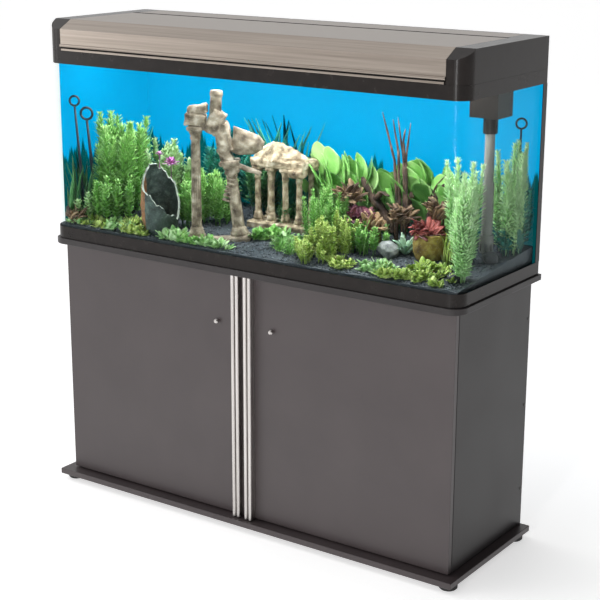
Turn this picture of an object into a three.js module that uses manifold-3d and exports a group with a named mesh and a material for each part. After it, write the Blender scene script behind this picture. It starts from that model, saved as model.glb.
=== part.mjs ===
// Aquarium on a cabinet stand: a glass tank with a lift-off hood, an overhead filter, scenery, and a
// two-door cabinet under it. Millimetres, +Z up, +X to the right, and the doors face -Y. The origin is
// on the floor under the middle of the boards.
import * as THREE from "three";
import { mergeVertices } from "three/addons/utils/BufferGeometryUtils.js";
import Module from "manifold-3d";

const wasm = await Module();
wasm.setup();

// ---- Driving dimensions: cabinet
const boardLength = 1220; // top board and base board
const boardDepth = 400;
const boardThickness = 15; // every board of the cabinet
const boardCornerRadius = 40; // front corners of the top board
const boardEdge = 1; // chamfer along the boards' edges
const footHeight = 15;
const footRadius = 22;
const footInset = 25; // foot centre to the end of the base board
const footSetback = 35; // foot centre to the long edge of the base board
const carcassInset = 25; // end of the base board to the side panel
const carcassHeight = 636;
const carcassSetback = 49; // front edge of the base board to the front edge of the side panels
const dividerThickness = 15;
const shelfHeight = 300; // top of the base board to the underside of a shelf
const shelfSetback = 30; // front edge of the side panels to the front edge of a shelf
const cableHoleRadius = 30;
const cableHoleInset = 110; // cable hole centre to the right side panel's outside
const cableHoleDrop = 75; // cable hole centre to the top of the carcass

// ---- Driving dimensions: doors
const doorStandOff = 2; // door back to the front edge of the side panels
const doorGap = 3; // round each door
const handleWidth = 23;
const handleProud = 20; // handle strip in front of the door
const handleInset = 5.5; // door's free edge to the handle strip
const handleGroove = 3; // between the two ridges of a strip
const knobRadius = 6;
const knobInset = 83; // knob centre to the cabinet's middle
const knobDrop = 129; // knob centre to the door's top edge
const cupRadius = 17.5; // 35 mm concealed hinge
const cupDepth = 11.5;
const cupWall = 1.5;
const cupInset = 22.5; // cup centre to the door's outer edge
const hingeInset = 100; // cup centre to the door's top or bottom edge
const hingeArmLength = 58;
const hingeArmWidth = 16;
const hingePlateHeight = 50;
const hingePlateThickness = 2.5;
const hingePlateSetback = 18; // front end of the arm to the plate behind it

// ---- Driving dimensions: tank
const tankEndSetback = 5; // end of the top board to the rims
const tankSetback = 6; // long edge of the top board to the rims
const tankCornerRadius = 38; // front corners of the rims
const rearChamfer = 2;
const bottomRimHeight = 31;
const topRimHeight = 33;
const clearGlassHeight = 423; // between the rims
const rimWall = 3;
const rimLedge = 22; // width of the ledge under the glass and over it
const rimLedgeThickness = 4;
const braceWidth = 50; // cross brace in the middle of the top rim
const glassGap = 1.5; // rim wall to glass, where the silicone is
const glassThickness = 6;
const bottomGlassThickness = 8;
const filmThickness = 0.8;
const filmCornerGap = 2; // rounded corner of the rims to the front edge of the film on the left side
const cornerTrimWidth = 20;
const cornerTrimThickness = 1.6;
const gravelFront = 24; // depth of the gravel at the front pane
const gravelBack = 58; // depth of the gravel at the back pane
const columnHeadroom = 73; // clear glass height less the taller column of the ruin
const columnDifference = 32; // between the ruin's two columns

// ---- Driving dimensions: hood
const hoodHeight = 75;
const hoodCrease = 53; // height of the crease between the front face and the slope
const hoodSlope = 40; // depth of the sloping face
const hoodWall = 3;
const hoodEdge = 3; // chamfer along the rear top edge
const endCapLength = 50; // of the hood, beside the lid
const lidThickness = 2.5;
const lidBottom = 8.5; // lid's lower edge above the hood's base
const lidEndGap = 0.6;
const capWall = 2.5; // wall that closes each end cap beside the lid
const beadRadius = 4;
const channelSetback = 111; // hinge channel behind the lid, to the rear of the hood
const channelWidth = 12;
const channelDepth = 13;
const lidPinDrop = 6; // pin axis under the top surface
const lidPinSetback = 5; // pin axis behind the lid's rear edge
const lidPinRadius = 2;
const runningGap = 0.3;
const lidEarRadius = 4.5;
const lidEarThickness = 3;
const railHeight = 5.5;
const railDepth = 10;
const railSetback = 3;
const trimStripHeight = 4.8;
const trimStripDepth = 4.7;
const rearCoverMargin = 12; // hood's rear face to the rear cover
const rearLip = 3; // between the hinge channel and the rear cover
const ribInset = 55; // end of the lid to the inner face of a cross rib
const ribThickness = 3;
const ribHeight = 48;

// ---- Driving dimensions: lights and filter
const housingInset = 22; // cross rib to the end of the light housing
const tubeInset = 27; // end of the light housing to a tube, which is 902 long, the 30 W size
const tubeRadius = 13;
const tubeSpacing = 76;
const housingWall = 2;
const housingEndBlock = 26;
const housingDepth = 150;
const housingHeight = 34;
const housingBase = 12; // above the hood's base
const housingSetback = 29; // front of the hood to the light housing
const splashGuardThickness = 3;
const trayDepth = 74;
const trayHeadroom = 21.7; // floor of the hinge channel to the tray's rim
const trayWall = 2.5;
const trayOverhang = 12; // past the cross ribs at the left end
const spongeInset = 110; // free end of the tray, over its drain
const spongeGap = 25; // right end of the sponge to the pump axis
const drainInset = 15; // end of the tray to its drain slot
const drainLength = 50;
const drainWidth = 24;
const outletReach = 20; // front wall of the tray to the outlet and to the drain
const spongeDrop = 7; // tray's height less the sponge's
const pumpInset = 35; // cross rib to the pump axis
const pumpSetback = 139; // pump axis to the rear of the hood
const pumpDrop = 3; // hood's underside to the pump block
const pumpWidth = 72;
const pumpHeight = 97;
const pumpNeckRadius = 17;
const pumpNeckLength = 38;
const riserDrop = 32; // floor of the hinge channel to the top of the pump's riser
const elbowRise = 18; // top of the riser to the middle of the outlet elbow
const riserLeft = 20; // pump axis to the riser's sides
const riserRight = 15;
const riserReach = 25;
const chamberRadius = 22;
const chamberHeight = 55;
const impellerRadius = 18;
const impellerVanes = 6;
const outletRadius = 7;
const intakeRadius = 11.5;
const intakeWall = 2;
const sleeveWall = 1.8;
const sleeveLength = 135;
const sleeveOverlap = 37;
const strainerRadius = 17;
const strainerHeight = 43;
const strainerSlots = 8;
const strainerRise = 70; // tank's underside to the strainer's
const strainerCup = 12; // the sleeve stands this deep in the strainer
const glandRadius = 11;
const glandStemRadius = 8;
const glandBore = 4;
const glandInset = 20; // cross rib to the gland
const glandHeight = 30;

// ---- Clearances
const touch = 0.3; // between pieces that rest on each other or are glued
const pocket = 0.6; // between the scenery and the gravel round it

// ---- Colours
const darkPlastic = { color: 0x3a3431, roughness: 0.35, metalness: 0 };
const taupeBoard = { color: 0x575152, roughness: 0.5, metalness: 0 };
const rawBoard = { color: 0x4a4546, roughness: 0.7, metalness: 0 };
const champagne = { color: 0xb8aca0, roughness: 0.35, metalness: 0.7 };
const brightMetal = { color: 0xc8c0ba, roughness: 0.25, metalness: 1 };
const steel = { color: 0xa8a8a8, roughness: 0.35, metalness: 1 };
const blackRubber = { color: 0x262424, roughness: 0.8, metalness: 0 };
const glass = { color: 0xd8f0ee, roughness: 0.05, metalness: 0, transparent: true, opacity: 0.25 };
const clearPlastic = { color: 0xe8f4f4, roughness: 0.1, metalness: 0, transparent: true, opacity: 0.35 };
const blueFilm = { color: 0x00aeef, roughness: 0.4, metalness: 0 };
const gravelStone = { color: 0x4d5660, roughness: 0.9, metalness: 0 };
const whitePlastic = { color: 0xe6e4de, roughness: 0.4, metalness: 0 };
const greyPlastic = { color: 0xb4b8b4, roughness: 0.4, metalness: 0 };
const lampGlass = { color: 0xf4f4ee, roughness: 0.3, metalness: 0 };
const sponge = { color: 0x2f4a66, roughness: 0.95, metalness: 0 };
const sandstone = { color: 0xa89878, roughness: 0.9, metalness: 0 };
const darkClay = { color: 0x4f5a4c, roughness: 0.85, metalness: 0 };
const ochreClay = { color: 0x9a8448, roughness: 0.85, metalness: 0 };
const bark = { color: 0x4f3a30, roughness: 0.95, metalness: 0 };
const greyStone = { color: 0x8a8a82, roughness: 0.9, metalness: 0 };

// ---- Shapes and solids
// Each vertex gets the exact bound, so faces that are meant to lie in one plane do.
function box(x0, x1, y0, y1, z0, z1) {
  const block = new THREE.BoxGeometry(1, 1, 1);
  const at = block.attributes.position;
  for (let i = 0; i < at.count; i++) {
    at.setXYZ(i, at.getX(i) < 0 ? x0 : x1, at.getY(i) < 0 ? y0 : y1, at.getZ(i) < 0 ? z0 : z1);
  }
  return block;
}

function polygon(points) {
  const shape = new THREE.Shape();
  points.forEach(([a, b], i) => (i ? shape.lineTo(a, b) : shape.moveTo(a, b)));
  shape.closePath();
  return shape;
}

// A plan outline, drawn in X and Y and extruded upwards from z0 to z1.
function upwards(shape, z0, z1, curveSegments = 8) {
  const prism = new THREE.ExtrudeGeometry(shape, { depth: 1, bevelEnabled: false, curveSegments });
  const at = prism.attributes.position;
  for (let i = 0; i < at.count; i++) at.setZ(i, at.getZ(i) < 0.5 ? z0 : z1);
  return prism;
}

// A side profile, drawn in Y and Z and extruded along X from x0 to x1.
function alongX(shape, x0, x1, curveSegments = 8) {
  const yzx = new THREE.Matrix4().makeBasis(
    new THREE.Vector3(0, 1, 0),
    new THREE.Vector3(0, 0, 1),
    new THREE.Vector3(1, 0, 0),
  );
  return upwards(shape, x0, x1, curveSegments).applyMatrix4(yzx);
}

// A round piece along Z, from its half profile of [radius, height] points.
function turned(points, segments = 24) {
  const profile = points.map(([r, z]) => new THREE.Vector2(r, z));
  return new THREE.LatheGeometry(profile, segments).rotateX(Math.PI / 2);
}

function rod(radius, z0, z1, segments = 24) {
  return turned([[0, z0], [radius, z0], [radius, z1], [0, z1]], segments);
}

function pipe(outer, inner, z0, z1, segments = 24) {
  return turned([[inner, z0], [outer, z0], [outer, z1], [inner, z1], [inner, z0]], segments);
}

function solid(geometry) {
  const bare = geometry.clone();
  bare.deleteAttribute("normal");
  bare.deleteAttribute("uv");
  const merged = mergeVertices(bare, 1e-4);
  const vertProperties = merged.attributes.position.array;
  const triVerts = new Uint32Array(merged.index.array);
  return new wasm.Manifold(new wasm.Mesh({ numProp: 3, vertProperties, triVerts }));
}

function geometryOf(manifold) {
  const { numProp, vertProperties, triVerts } = manifold.getMesh();
  const positions = new Float32Array((vertProperties.length / numProp) * 3);
  for (let i = 0; i < positions.length / 3; i++) {
    positions.set(vertProperties.subarray(i * numProp, i * numProp + 3), i * 3);
  }
  const geometry = new THREE.BufferGeometry();
  geometry.setAttribute("position", new THREE.BufferAttribute(positions, 3));
  geometry.setIndex(new THREE.BufferAttribute(new Uint32Array(triVerts), 1));
  geometry.computeVertexNormals();
  return geometry;
}

function joined(...geometries) {
  return geometries.map(solid).reduce((whole, piece) => whole.add(piece));
}

function cutFrom(geometry, ...cutters) {
  return cutters.map(solid).reduce((rest, cutter) => rest.subtract(cutter), solid(geometry));
}

function place(parent, name, geometry, look) {
  const mesh = new THREE.Mesh(geometry, new THREE.MeshStandardMaterial(look));
  mesh.name = name;
  parent.add(mesh);
  return mesh;
}

function group(parent, x = 0, y = 0, z = 0) {
  const made = new THREE.Group();
  made.position.set(x, y, z);
  parent.add(made);
  return made;
}

// A rectangle with round corners at the front, and square or chamfered ones at the back.
function roundedFront(length, depth, frontRadius, backChamfer) {
  const x = length / 2;
  const y = depth / 2;
  const shape = new THREE.Shape();
  shape.moveTo(x, y - backChamfer);
  if (backChamfer) shape.lineTo(x - backChamfer, y);
  shape.lineTo(-x + backChamfer, y);
  if (backChamfer) shape.lineTo(-x, y - backChamfer);
  shape.absarc(-x + frontRadius, -y + frontRadius, frontRadius, Math.PI, 1.5 * Math.PI, false);
  shape.absarc(x - frontRadius, -y + frontRadius, frontRadius, 1.5 * Math.PI, 2 * Math.PI, false);
  return shape;
}

// A board with chamfered edges.
function boardOf(shape, z0, z1, curveSegments = 8) {
  const options = {
    depth: z1 - z0 - 2 * boardEdge,
    bevelThickness: boardEdge,
    bevelSize: boardEdge,
    bevelOffset: -boardEdge,
    bevelSegments: 1,
    curveSegments,
  };
  return new THREE.ExtrudeGeometry(shape, options).translate(0, 0, z0 + boardEdge);
}

function board(x0, x1, y0, y1, z0, z1) {
  const outline = roundedFront(x1 - x0, y1 - y0, boardEdge, boardEdge);
  return boardOf(outline, z0, z1, 1).translate((x0 + x1) / 2, (y0 + y1) / 2, 0);
}

// ---- Derived places: cabinet
const baseTop = footHeight + boardThickness;
const carcassTop = baseTop + carcassHeight;
const cabinetTop = carcassTop + boardThickness;
const carcassLength = boardLength - 2 * carcassInset;
const carcassFront = -boardDepth / 2 + carcassSetback;
const carcassBack = boardDepth / 2;
const backPanelFront = carcassBack - boardThickness;
const carcassSide = carcassLength / 2;
const bayOutside = carcassSide - boardThickness;
const doorBack = carcassFront - doorStandOff;
const doorFront = doorBack - boardThickness;
const doorBottom = baseTop + doorGap;
const doorTop = carcassTop - doorGap;

const aquarium = new THREE.Group();

// ---- Cabinet: feet, boards and panels
const cabinet = group(aquarium);

function footGeometry() {
  const sole = footRadius - 3;
  const top = footHeight - touch;
  return turned([[0, 0], [sole, 0], [footRadius, 3], [footRadius, top], [0, top]]);
}

for (const [side, sx] of [["left", -1], ["right", 1]]) {
  for (const [end, sy] of [["front", -1], ["rear", 1]]) {
    const foot = place(cabinet, `foot_${end}_${side}`, footGeometry(), blackRubber);
    foot.position.x = sx * (boardLength / 2 - footInset);
    foot.position.y = sy * (boardDepth / 2 - footSetback);
  }
}

function baseBoard() {
  return board(-boardLength / 2, boardLength / 2, -boardDepth / 2, boardDepth / 2, footHeight, baseTop);
}

function topBoard() {
  const outline = roundedFront(boardLength, boardDepth, boardCornerRadius, boardEdge);
  return boardOf(outline, carcassTop, cabinetTop);
}

function sidePanel(sx) {
  const inner = sx * bayOutside;
  const outer = sx * carcassSide;
  const x0 = Math.min(inner, outer);
  return board(x0, x0 + boardThickness, carcassFront, carcassBack, baseTop + touch, carcassTop - touch);
}

function backPanel() {
  const x = bayOutside - touch;
  const hole = rod(cableHoleRadius, 0, 4 * boardThickness, 24).rotateX(-Math.PI / 2);
  hole.translate(carcassSide - cableHoleInset, backPanelFront - boardThickness, carcassTop - cableHoleDrop);
  const panel = board(-x, x, backPanelFront, carcassBack, baseTop + touch, carcassTop - touch);
  return geometryOf(cutFrom(panel, hole));
}

function centreDivider() {
  const x = dividerThickness / 2;
  return board(-x, x, carcassFront, backPanelFront - touch, baseTop + touch, carcassTop - touch);
}

function shelf(sx) {
  const inner = dividerThickness / 2 + touch;
  const outer = bayOutside - touch;
  const x0 = sx < 0 ? -outer : inner;
  const z0 = baseTop + shelfHeight;
  const front = carcassFront + shelfSetback;
  return board(x0, x0 + outer - inner, front, backPanelFront - touch, z0, z0 + boardThickness);
}

place(cabinet, "base_board", baseBoard(), taupeBoard);
place(cabinet, "top_board", topBoard(), taupeBoard);
place(cabinet, "left_side_panel", sidePanel(-1), taupeBoard);
place(cabinet, "right_side_panel", sidePanel(1), taupeBoard);
place(cabinet, "back_panel", backPanel(), rawBoard);
place(cabinet, "centre_divider", centreDivider(), rawBoard);
place(cabinet, "left_shelf", shelf(-1), rawBoard);
place(cabinet, "right_shelf", shelf(1), rawBoard);

// ---- Doors: each is drawn for the right-hand side and mirrored for the left
const hingeHeights = [["lower", doorBottom + hingeInset], ["upper", doorTop - hingeInset]];
const cupX = carcassSide - cupInset;

function door(sx) {
  const free = doorGap / 2;
  const x0 = sx < 0 ? -carcassSide : free;
  const panel = board(x0, x0 + carcassSide - free, doorFront, doorBack, doorBottom, doorTop);
  const recesses = hingeHeights.map(([, z]) => {
    const recess = rod(cupRadius + touch, -cupDepth - touch, 1).rotateX(-Math.PI / 2);
    return recess.translate(sx * cupX, doorBack, z);
  });
  return geometryOf(cutFrom(panel, ...recesses));
}

// Two half-round ridges with a groove between them, on a flat back.
function handleStrip(sx) {
  const ridge = (handleWidth - handleGroove) / 4;
  const back = doorFront - touch;
  const crest = doorFront - handleProud + ridge;
  const valley = crest + ridge;
  const x0 = sx < 0 ? -doorGap / 2 - handleInset - handleWidth : doorGap / 2 + handleInset;
  const shape = new THREE.Shape();
  shape.moveTo(x0, back);
  shape.lineTo(x0, crest);
  shape.absarc(x0 + ridge, crest, ridge, Math.PI, 2 * Math.PI, false);
  shape.lineTo(x0 + 2 * ridge, valley);
  shape.lineTo(x0 + 2 * ridge + handleGroove, valley);
  shape.lineTo(x0 + 2 * ridge + handleGroove, crest);
  shape.absarc(x0 + 3 * ridge + handleGroove, crest, ridge, Math.PI, 2 * Math.PI, false);
  shape.lineTo(x0 + handleWidth, back);
  return upwards(shape, doorBottom, doorTop, 6);
}

function knob(sx) {
  const head = [[0, 0], [4, 0], [4, 5], [knobRadius, 6], [knobRadius, 8], [4, 10.5], [0, 11]];
  const made = turned(head.map(([r, z]) => [r, z + touch])).rotateX(Math.PI / 2);
  return made.translate(sx * knobInset, doorFront, doorTop - knobDrop);
}

function hingeCup(sx, z) {
  const flange = cupRadius + 1.5;
  const lip = 1.2;
  const inside = cupRadius - cupWall;
  const profile = [
    [0, -cupDepth],
    [cupRadius, -cupDepth],
    [cupRadius, touch],
    [flange, touch],
    [flange, touch + lip],
    [inside, touch + lip],
    [inside, cupWall - cupDepth],
    [0, cupWall - cupDepth],
  ];
  return turned(profile).rotateX(-Math.PI / 2).translate(sx * cupX, doorBack, z);
}

// The arm lies on the side panel's inner face and its tip reaches into the cup.
function hingeArm(sx, z) {
  const face = bayOutside - touch;
  const tipReach = boardThickness - 7;
  const span = (x0, x1) => (sx < 0 ? [-x1, -x0] : [x0, x1]);
  const arm = [carcassFront + 3, carcassFront + 3 + hingeArmLength];
  const plateBack = [arm[0] + hingePlateSetback, arm[1]];
  const half = hingePlateHeight / 2;
  const plate = box(...span(face - hingePlateThickness, face), ...plateBack, z - half, z + half);
  const body = box(...span(face - 11, face - 1.3), ...arm, z - hingeArmWidth / 2, z + hingeArmWidth / 2);
  const tip = box(...span(face - 9, face - 1.3), doorFront + tipReach, arm[0] + 1, z - 5, z + 5);
  return geometryOf(joined(plate, body, tip));
}

for (const [side, sx] of [["left", -1], ["right", 1]]) {
  place(cabinet, `${side}_door`, door(sx), taupeBoard);
  place(cabinet, `${side}_door_handle`, handleStrip(sx), brightMetal);
  place(cabinet, `${side}_door_knob`, knob(sx), brightMetal);
  for (const [level, z] of hingeHeights) {
    place(cabinet, `${side}_${level}_hinge_cup`, hingeCup(sx, z), steel);
    place(cabinet, `${side}_${level}_hinge_arm`, hingeArm(sx, z), steel);
  }
}

// ---- Tank: rims, glass, trims, film and gravel, with z = 0 at the tank's underside
const tank = group(aquarium, 0, 0, cabinetTop + touch);
const tankLength = boardLength - 2 * tankEndSetback;
const tankDepth = boardDepth - 2 * tankSetback;
const topRimBase = bottomRimHeight + clearGlassHeight;
const tankHeight = topRimBase + topRimHeight;
const glassInset = rimWall + glassGap;
const glassBase = rimLedgeThickness + touch;
const glassTop = tankHeight - rimLedgeThickness - glassGap;
const glassSide = tankLength / 2 - glassInset;
const filmBack = tankDepth / 2 - rimWall - 0.4;
const glassBack = filmBack - filmThickness - touch;
const backGlassFront = glassBack - glassThickness;

function tankOutline(inset, chamfer = 0) {
  const radius = Math.max(tankCornerRadius - inset, 1);
  return roundedFront(tankLength - 2 * inset, tankDepth - 2 * inset, radius, chamfer);
}

function ringOf(outerInset, innerInset, z0, z1) {
  const ring = solid(upwards(tankOutline(outerInset, rearChamfer), z0, z1));
  return ring.subtract(solid(upwards(tankOutline(innerInset), z0 - 1, z1 + 1)));
}

function bottomRim() {
  const wall = ringOf(0, rimWall, 0, bottomRimHeight);
  return geometryOf(wall.add(ringOf(0, rimLedge, 0, rimLedgeThickness)));
}

function topRim() {
  const under = tankHeight - rimLedgeThickness;
  const wall = ringOf(0, rimWall, topRimBase, tankHeight);
  const ledge = ringOf(0, rimLedge, under, tankHeight);
  const reach = tankDepth / 2 - rimLedge + 2;
  const brace = box(-braceWidth / 2, braceWidth / 2, -reach, reach, under, tankHeight);
  return geometryOf(wall.add(ledge).add(solid(brace)));
}

// One pane bent round both front corners, open at the back.
function frontAndSideGlass() {
  const outer = upwards(tankOutline(glassInset), glassBase, glassTop);
  const inner = upwards(tankOutline(glassInset + glassThickness), glassBase - 1, glassTop + 1);
  const x = glassSide - glassThickness;
  const back = box(-tankLength, tankLength, glassBack, tankDepth, glassBase - 1, glassTop + 1);
  const mouth = box(-x, x, 0, tankDepth, glassBase - 1, glassTop + 1);
  return geometryOf(cutFrom(outer, inner, back, mouth));
}

function backGlass() {
  const x = glassSide - glassThickness - touch;
  return box(-x, x, backGlassFront, glassBack, glassBase, glassTop);
}

function insideOutline(gap) {
  const inset = glassInset + glassThickness + gap;
  const outline = solid(upwards(tankOutline(inset), 0, tankHeight));
  const behind = box(-tankLength, tankLength, backGlassFront - gap, tankDepth, -1, tankHeight + 1);
  return outline.subtract(solid(behind));
}

function bottomGlass() {
  const slabTop = glassBase + bottomGlassThickness;
  const slab = box(-tankLength, tankLength, -tankDepth, tankDepth, glassBase, slabTop);
  return geometryOf(insideOutline(touch).intersect(solid(slab)));
}

// A printed sheet taped behind the back pane and round the left rear corner.
function backgroundFilm() {
  const left = -glassSide - touch - filmThickness;
  const front = -tankDepth / 2 + tankCornerRadius + filmCornerGap;
  const inset = filmThickness;
  const outline = polygon([
    [left, filmBack],
    [left, front],
    [left + inset, front],
    [left + inset, filmBack - inset],
    [glassSide, filmBack - inset],
    [glassSide, filmBack],
  ]);
  return upwards(outline, glassBase + 2, glassTop - 2);
}

function cornerTrim(sx) {
  const x = tankLength / 2;
  const y = tankDepth / 2;
  const t = cornerTrimThickness;
  const w = cornerTrimWidth;
  const outline = polygon([
    [sx * x, y],
    [sx * (x - w), y],
    [sx * (x - w), y - t],
    [sx * (x - t), y - t],
    [sx * (x - t), y - w],
    [sx * x, y - w],
  ]);
  return upwards(outline, bottomRimHeight + touch, topRimBase - touch);
}

place(tank, "bottom_rim", bottomRim(), darkPlastic);
place(tank, "top_rim", topRim(), darkPlastic);
place(tank, "front_and_side_glass", frontAndSideGlass(), glass);
place(tank, "back_glass", backGlass(), glass);
place(tank, "bottom_glass", bottomGlass(), glass);
place(tank, "background_film", backgroundFilm(), blueFilm);
place(tank, "left_rear_corner_trim", cornerTrim(-1), darkPlastic);
place(tank, "right_rear_corner_trim", cornerTrim(1), darkPlastic);

// ---- Scenery, standing in pockets of the gravel
const gravelBottom = glassBase + bottomGlassThickness + touch;
const gravelFrontY = -tankDepth / 2 + glassInset + glassThickness;

function gravelTop(y) {
  const along = (y - gravelFrontY) / (backGlassFront - gravelFrontY);
  return gravelBottom + gravelFront + along * (gravelBack - gravelFront);
}

// Each footprint is [x, y, width, depth, turn in degrees, depth in the gravel]. The places are for a tank
// that is sceneryLength by sceneryDepth inside, and they close up or spread out with the tank. In a smaller
// tank the pieces are narrower too.
const sceneryLength = 1189;
const sceneryDepth = 367;
const spreadX = (2 * (glassSide - glassThickness)) / sceneryLength;
const spreadY = (backGlassFront - gravelFrontY) / sceneryDepth;
const narrowing = Math.min(1, spreadX);
const thinning = Math.min(1, spreadY);
const footprints = {
  column_ruin: [-122 * spreadX, -113 * spreadY, 152, 50, 30, 7],
  temple_ruin: [-40 * spreadX, 56 * spreadY, 176, 92, 2, 9],
  broken_jar: [-296 * spreadX, -126 * spreadY, 76, 76, 0, 7],
  small_urn: [417 * spreadX, 0, 76, 76, 0, 6],
  driftwood: [262 * spreadX, 126 * spreadY, 210, 50, 4, 8],
  grey_stone: [328 * spreadX, -40 * spreadY, 62, 44, 15, 6],
};

function standAt(name) {
  const [x, y, , , turn, sink] = footprints[name];
  const stand = group(tank, x, y, gravelTop(y) - sink);
  stand.rotation.z = THREE.MathUtils.degToRad(turn);
  stand.scale.set(narrowing, thinning, 1);
  return stand;
}

function pocketFor([x, y, width, depth, turn, sink]) {
  const w = (width * narrowing) / 2 + pocket;
  const d = (depth * thinning) / 2 + pocket;
  const hollow = box(-w, w, -d, d, -pocket, tankHeight);
  hollow.rotateZ(THREE.MathUtils.degToRad(turn));
  return hollow.translate(x, y, gravelTop(y) - sink);
}

function gravelBed() {
  const back = backGlassFront;
  const profile = polygon([
    [-tankDepth, gravelBottom],
    [back, gravelBottom],
    [back, gravelTop(back)],
    [gravelFrontY, gravelTop(gravelFrontY)],
    [-tankDepth, gravelTop(gravelFrontY)],
  ]);
  const bed = insideOutline(2 * touch).intersect(solid(alongX(profile, -tankLength, tankLength)));
  const pockets = Object.values(footprints).map((print) => solid(pocketFor(print)));
  return geometryOf(pockets.reduce((rest, hollow) => rest.subtract(hollow), bed));
}

function column(x, height, radius) {
  const base = box(x - radius - 5, x + radius + 5, -radius - 5, radius + 5, 10, 20);
  const shaft = rod(radius, 18, height - 10, 16).translate(x, 0, 0);
  const capital = box(x - radius - 4, x + radius + 4, -radius - 4, radius + 4, height - 12, height);
  return [base, shaft, capital];
}

function columnRuin() {
  const [, , width, depth] = footprints.column_ruin;
  const step = box(-width / 2, width / 2, -depth / 2, depth / 2, 0, 12);
  const tallHeight = clearGlassHeight - columnHeadroom;
  const shortHeight = tallHeight - columnDifference;
  const tall = column(53, tallHeight, 13);
  const short = column(-53, shortHeight, 13);
  const beam = box(-70, 64, -12, 12, 0, 24).rotateY(-0.236).translate(0, 0, (tallHeight + shortHeight) / 2);
  return geometryOf(joined(step, ...tall, ...short, beam));
}

function templeRuin() {
  const [, , width, depth] = footprints.temple_ruin;
  const step = box(-width / 2, width / 2, -depth / 2, depth / 2, 0, 18);
  const columnTop = 170;
  const row = [-62, -21, 21, 62].map((x) => rod(9, 16, columnTop + 2, 12).translate(x, -28, 0));
  const rear = [-62, 62].map((x) => rod(9, 16, columnTop + 2, 12).translate(x, 28, 0));
  const lintel = box(-78, 78, -42, 42, columnTop, columnTop + 16);
  const gable = polygon([[-80, columnTop + 15], [80, columnTop + 15], [0, columnTop + 52]]);
  const roof = upwards(gable, 18, 44).rotateX(Math.PI / 2);
  return geometryOf(joined(step, ...row, ...rear, lintel, roof));
}

function brokenJar() {
  const [, , width] = footprints.broken_jar;
  const foot = width / 2 - 4;
  const outside = [[0, 0], [foot, 0], [foot + 12, 40], [foot + 16, 95], [foot + 8, 150], [foot + 2, 176]];
  const inside = [[foot - 4, 176], [foot + 2, 149], [foot + 10, 95], [foot + 6, 43], [foot - 8, 8], [0, 8]];
  return turned([...outside, ...inside], 20);
}

function smallUrn() {
  const [, , width] = footprints.small_urn;
  const foot = width / 2 - 3;
  const outside = [[0, 0], [foot, 0], [foot + 6, 22], [foot + 4, 48], [foot, 64]];
  const inside = [[foot - 5, 64], [foot - 2, 48], [foot + 1, 22], [foot - 6, 6], [0, 6]];
  return turned([...outside, ...inside], 16);
}

function branch(radius, length, tiltY, x, y, z) {
  const limb = turned([[0, 0], [radius, 0], [radius * 0.55, length], [0, length]], 8);
  return limb.rotateY(tiltY).translate(x, y, z);
}

function driftwood() {
  const [, , width] = footprints.driftwood;
  const trunk = branch(20, width - 20, 1.4, -width / 2 + 14, 0, 22);
  const crotch = branch(15, 130, 0.45, -30, 0, 26);
  const twig = branch(11, 110, -0.6, 20, 4, 24);
  const tip = branch(9, 90, 0.9, 40, -4, 30);
  return geometryOf(joined(trunk, crotch, twig, tip));
}

function greyStoneLump() {
  const [, , width, depth] = footprints.grey_stone;
  return new THREE.IcosahedronGeometry(1, 1).scale(width / 2, depth / 2, 22).translate(0, 0, 22);
}

place(tank, "gravel_bed", gravelBed(), gravelStone);
place(standAt("column_ruin"), "column_ruin", columnRuin(), sandstone);
place(standAt("temple_ruin"), "temple_ruin", templeRuin(), sandstone);
place(standAt("broken_jar"), "broken_jar", brokenJar(), darkClay);
place(standAt("small_urn"), "small_urn", smallUrn(), ochreClay);
place(standAt("driftwood"), "driftwood", driftwood(), bark);
place(standAt("grey_stone"), "grey_stone", greyStoneLump(), greyStone);

// ---- Hood, with z = 0 at its underside
const hood = group(aquarium, 0, 0, cabinetTop + touch + tankHeight + touch);
const hoodFront = -tankDepth / 2;
const hoodBack = tankDepth / 2;
const lidHalf = tankLength / 2 - endCapLength;
const capStart = lidHalf + lidEndGap;
const channelFront = hoodBack - channelSetback;
const channelBack = channelFront + channelWidth;
const channelFloor = hoodHeight - channelDepth;
const pinY = channelFront + lidPinSetback;
const pinZ = hoodHeight - lidPinDrop;
const coverFront = channelBack + rearLip;
const coverBack = hoodBack - rearCoverMargin;
const coverHalf = lidHalf - 8;
const ribOffset = lidHalf - ribInset;
const ribFoot = 3;
const glandX = ribOffset + glandInset;
const bury = 0.4;

function hoodProfile(inset) {
  const slopeInset = inset * 0.6;
  return polygon([
    [hoodFront + inset, -inset],
    [hoodBack - inset, -inset],
    [hoodBack - inset, hoodHeight - inset - hoodEdge],
    [hoodBack - inset - hoodEdge, hoodHeight - inset],
    [hoodFront + hoodSlope + slopeInset, hoodHeight - inset],
    [hoodFront + inset, hoodCrease - slopeInset],
  ]);
}

function hoodBlock(inset) {
  const plan = upwards(tankOutline(inset, rearChamfer), -inset, hoodHeight);
  return solid(plan).intersect(solid(alongX(hoodProfile(inset), -tankLength, tankLength)));
}

function crossRib(x) {
  const top = channelFloor - 2;
  const front = hoodFront + railSetback + railDepth - 1;
  const profile = polygon([
    [front, bury],
    [hoodBack - hoodWall + 1, bury],
    [hoodBack - hoodWall + 1, ribFoot],
    [coverFront + 2, ribFoot],
    [coverFront + 2, top],
    [channelFront - 3, top],
    [channelFront - 23, ribHeight],
    [front, ribHeight],
  ]);
  return alongX(profile, x, x + ribThickness);
}

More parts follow.
